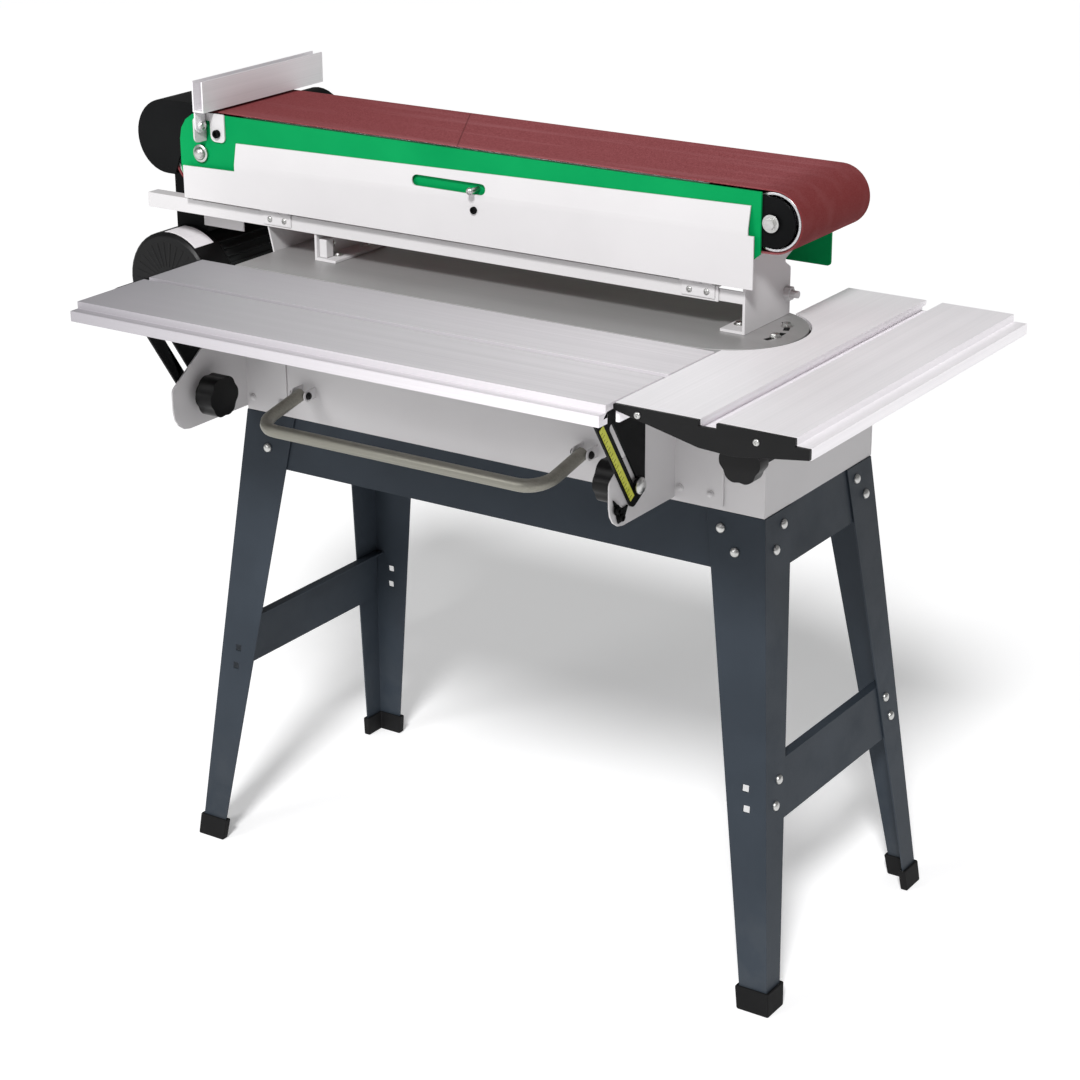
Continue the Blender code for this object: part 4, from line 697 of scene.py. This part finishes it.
left_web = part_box("head_bracket_left")[0][0] + 0.0030
near, foot = left_web + 0.0002, plate_top + FOOT + 0.0002
bm = bmesh.new()
block(bm, (near, -0.1830, foot), (left_web + 0.0110, -0.1700, plate_top + 0.0250))
block(bm, (near, -0.1700, foot), (left_web + 0.0040, -0.1560, plate_top + 0.0230))
finish_piece("levelling_block", bm, "base", "white_paint", width=0.0010)
LEVELLING_BOLTS = (  # out from the web, along Y, above the plate, radius
    (0.0040, -0.1630, 0.0160, 0.0034),
    (0.0, -0.1400, 0.0260, 0.0036),
    (0.0, -0.1220, 0.0260, 0.0036),
)
levelling = []
for out, y, rise, radius in LEVELLING_BOLTS:
    levelling += bolt_on_washer((left_web + out, y, plate_top + rise), RIGHTWARD, radius)
fittings("levelling_bolts", levelling, "base", "zinc_plate")

hanger_low, hanger_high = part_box("motor_bracket")
motor_plate_face = hanger_low[1] - 0.0023
low = (hanger_high[0] - 0.0030, motor_plate_face, 0.8000)
high = (-0.3460, hanger_low[1] - 0.0003, 0.8480)
bm = bmesh.new()
block(bm, low, high)
finish_piece("motor_plate", bm, "head", "white_paint", width=0.0006)
plate_bolts = []
for x in (hanger_low[0] + 0.010, hanger_high[0] - 0.010):
    plate_bolts += bolt_on_washer((x, motor_plate_face, 0.8240), FORWARD, 0.0040)
fittings("motor_plate_bolts", plate_bolts, "head", "zinc_plate")
print("blocks: levelling block, motor plate")

# %% [markdown]
# The end table's moulding is fixed with two cross-head screws, the pointer with two dark ones, and
# the table brackets with white painted bolts.  The clamping studs end in polished domes.

# %% Table fittings
CAP_SCREWS = ((0.3990, 0.7885), (0.5290, 0.7850))
cap_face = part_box("end_table_cap")[0][1]
cap_screws = [((x, cap_face, z), FORWARD, cross_head(0.0036, 0.0018)) for x, z in CAP_SCREWS]
fittings("cap_screws", cap_screws, "end_table", "zinc_plate")
pointer_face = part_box("pointer")[1][0]
pointer_screws = []
for y, z in ((-0.2545, 0.6005), (-0.2470, 0.5900)):
    pointer_screws.append(((pointer_face, y, z), RIGHTWARD, washer(0.0060, 0.0010)))
    head = socket_head(0.0042, 0.0034)
    pointer_screws.append(((pointer_face + 0.0010, y, z), RIGHTWARD, head))
fittings("pointer_screws", pointer_screws, "base", "black_paint")
STUD = (-0.214, 0.617)
STUD_DOME = (0.0095, 0.0048)  # radius and height
for side, end, outward in (("right", 1, RIGHTWARD), ("left", 0, LEFTWARD)):
    head_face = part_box(f"knob_{side}")[end][0]
    stud = ((head_face, *STUD), outward, dome(*STUD_DOME))
    fittings(f"stud_dome_{side}", [stud], f"{side}_knob", "zinc_plate")
FLANGE_FACE = -0.1293  # front of the brackets' flanges on the cabinet
flange_bolts = []
for x in (0.2570, 0.2960, -0.3080, -0.3520):
    for z in (0.5890, 0.6760):
        flange_bolts += bolt_on_washer((x, FLANGE_FACE, z), FORWARD, 0.0034)
fittings("flange_bolts", flange_bolts, "base", "white_paint")
print("table fittings placed")

# %% [markdown]
# Scale lines every five millimetres, with a longer one at each ten.  They are thin black bars laid
# along the strip, turned to its lean.

# %% Scale lines
LEAN = math.radians(33.2)
UP = Vector((0, -math.sin(LEAN), math.cos(LEAN)))
OUT = Vector((0, -math.cos(LEAN), -math.sin(LEAN)))
SCALE_LINES = 22
LINE_START, LINE_PITCH = 0.001, 0.005
LONG_LINE, SHORT_LINE = 0.0052, 0.0032
SCALE_FAR_EDGE = 0.0200
HALF_LINE = 0.0003
PROUD = 0.0001  # how far a line stands out of the strip
strip_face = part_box("scale_strip")[1][0]
bm = bmesh.new()
for k in range(SCALE_LINES):
    length = LONG_LINE if k % 2 == 0 else SHORT_LINE
    foot = Vector((strip_face, *STUD)) + UP * (LINE_START + LINE_PITCH * k)
    foot += OUT * (SCALE_FAR_EDGE - length)
    tip = foot + OUT * length
    across = UP * HALF_LINE
    rows = []
    for x in (-PROUD, PROUD):
        shift = Vector((x, 0, 0))
        corners = (foot - across, foot + across, tip + across, tip - across)
        rows.append([tuple(corner + shift) for corner in corners])
    skin(bm, rows, Matrix())
finish_piece("scale_lines", bm, "front_table", "black_paint")
print("scale lines:", SCALE_LINES)

# %% [markdown]
# The bail's cross pins are kept in their lugs by black push caps, two at each end.

# %% Caps of the bail
BAIL_PIN_AXIS = (-0.1425, 0.6105)
BAIL_LUG = 0.028  # from a tube's outer side to the inner cap
bail_low, bail_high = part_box("bail")
caps = []
for x, direction in (
    (bail_low[0], -1),
    (bail_low[0] + BAIL_LUG, 1),
    (bail_high[0], 1),
    (bail_high[0] - BAIL_LUG, -1),
):
    start = x - direction * 0.0027
    caps.append(((start, *BAIL_PIN_AXIS), (direction, 0, 0), dome(0.0046, 0.0040)))
fittings("bail_caps", caps, "bail", "black_plastic")
print("bail caps:", len(caps))

# %% [markdown]
# A small totally enclosed motor sheds heat through fins cast along its body, and its fan draws air
# through a slotted cowl.  The fins stop where the hanger grips the body.  A blank pale label is
# wrapped on the cowl's shoulder.

# %% Motor fins, cowl slots and label
body_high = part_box("motor_body")[1]
cowl_low, cowl_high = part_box("motor_fan_cowl")
MOTOR_AXIS = ((cowl_low[0] + cowl_high[0]) / 2, (cowl_low[2] + cowl_high[2]) / 2)
MOTOR_RADIUS = 0.056
COWL_RADIUS = 0.062
FIN_COUNT = 36
HANGER_HALF_ANGLE = 32  # no fins within this angle of the top
FIN_ROOT = (MOTOR_RADIUS - 0.001, 0.0012)  # reach and half thickness
FIN_TIP = (COWL_RADIUS - 0.0022, 0.0008)
fin_near, fin_far = cowl_high[1] + 0.004, body_high[1] - 0.010


def spoke(angle):
    """The directions away from the motor's axis and round it, at an angle in degrees."""
    a = math.radians(angle)
    return Vector((math.cos(a), 0, math.sin(a))), Vector((-math.sin(a), 0, math.cos(a)))


bm = bmesh.new()
for k in range(FIN_COUNT):
    angle = 360 * k / FIN_COUNT
    if abs((angle - 90 + 180) % 360 - 180) < HANGER_HALF_ANGLE:
        continue
    out, side = spoke(angle)
    rows = []
    for reach, half in (FIN_ROOT, FIN_TIP):
        row = []
        for y, s in ((fin_near, -1), (fin_near, 1), (fin_far, 1), (fin_far, -1)):
            point = Vector((MOTOR_AXIS[0], y, MOTOR_AXIS[1])) + out * reach + side * half * s
            row.append(tuple(point))
        rows.append(row)
    skin(bm, rows, Matrix())
finish_piece("motor_fins", bm, "head", "motor_grey", width=0.0003)

RIB_COUNT = 30
RIB_ENDS = (0.020, 0.050)
centre = Vector((MOTOR_AXIS[0], 0, MOTOR_AXIS[1]))
bm = bmesh.new()
for k in range(RIB_COUNT):
    out, side = spoke(360 * k / RIB_COUNT)
    rows = []
    for y in (cowl_low[1] - 0.0004, cowl_low[1] + 0.0006):
        row = []
        for reach, s in ((RIB_ENDS[0], -1), (RIB_ENDS[0], 1), (RIB_ENDS[1], 1), (RIB_ENDS[1], -1)):
            point = centre + out * reach + side * (0.0006 + reach * 0.02) * s
            row.append((point.x, y, point.z))
        rows.append(row)
    skin(bm, rows, Matrix())
finish_piece("cowl_ribs", bm, "head", "black_plastic", width=0.0003)

LABEL_START, LABEL_SPAN, LABEL_STEPS = 96, 46, 12
LABEL_Y = (-0.1800, -0.1460)
LABEL_INNER, LABEL_OUTER = 0.0618, 0.0623
LABEL_SECTION = (
    (LABEL_INNER, LABEL_Y[0]),
    (LABEL_INNER, LABEL_Y[1]),
    (LABEL_OUTER, LABEL_Y[1]),
    (LABEL_OUTER, LABEL_Y[0]),
)
bm = bmesh.new()
rows = []
for k in range(LABEL_STEPS + 1):
    a = math.radians(LABEL_START - LABEL_SPAN * k / LABEL_STEPS)
    row = []
    for reach, y in LABEL_SECTION:
        row.append((MOTOR_AXIS[0] + reach * math.cos(a), y, MOTOR_AXIS[1] + reach * math.sin(a)))
    rows.append(row)
skin(bm, rows, Matrix())
finish_piece("cowl_label", bm, "head", "pale_aluminium", width=0.0001)
print("fins:", FIN_COUNT)

# %% [markdown]
# A product stands on a pale seamless floor in soft light.  The floor is one large sheet that glows
# a little, so it stays white far behind.  A far, even light from the front right throws the soft
# shadows back and to the left, a broad lamp over the left shoulder fills the fronts, and a weak sky
# keeps the shadows open.

# %% Floor and light


def sun(name, source, spread, strength):
    """A far, even light; its spread in degrees sets how soft the shadows are."""
    data = bpy.data.lights.new(name, "SUN")
    data.angle = math.radians(spread)
    data.energy = strength
    obj = bpy.data.objects.new(name, data)
    obj.rotation_euler = Vector(source).to_track_quat("Z", "Y").to_euler()
    bpy.context.scene.collection.objects.link(obj)


def lamp(name, place, size, power, aim):
    data = bpy.data.lights.new(name, "AREA")
    data.shape = "DISK"
    data.size = size
    data.energy = power
    obj = bpy.data.objects.new(name, data)
    obj.location = place
    obj.rotation_euler = (Vector(aim) - Vector(place)).to_track_quat("-Z", "Y").to_euler()
    bpy.context.scene.collection.objects.link(obj)


FLOOR_GLOW = 0.23
SKY_GLOW = 0.24
FLOOR_HALF = 30


def make_floor():
    mesh = bpy.data.meshes.new("floor")
    half = FLOOR_HALF
    corners = [(-half, -half, 0), (half, -half, 0), (half, half, 0), (-half, half, 0)]
    mesh.from_pydata(corners, [], [(0, 1, 2, 3)])
    made = Recipe("pale_floor", shine=0.1)
    cloud = made.noise(0.6, 2.0)
    made.set(base_color=made.blend(cloud, light(246, 246, 247), light(250, 250, 250)))
    made.set(roughness=0.9)
    made.shader.inputs["Emission Color"].default_value = (1.0, 1.0, 1.0, 1.0)
    made.shader.inputs["Emission Strength"].default_value = FLOOR_GLOW
    mesh.materials.append(made.material)
    floor = bpy.data.objects.new("floor", mesh)
    bpy.context.scene.collection.objects.link(floor)


make_floor()
world = bpy.data.worlds.new("studio")
bpy.context.scene.world = world
world.use_nodes = True
sky = world.node_tree.nodes["Background"]
sky.inputs["Color"].default_value = (1.0, 1.0, 1.0, 1.0)
sky.inputs["Strength"].default_value = SKY_GLOW
sun("key", (0.45, -1.0, 0.95), 10, 2.85)
lamp("fill", (-1.4, -3.0, 2.0), 1.6, 30, (0, 0, 0.6))
bpy.context.scene.view_settings.view_transform = "Standard"
print("lamps:", 2)
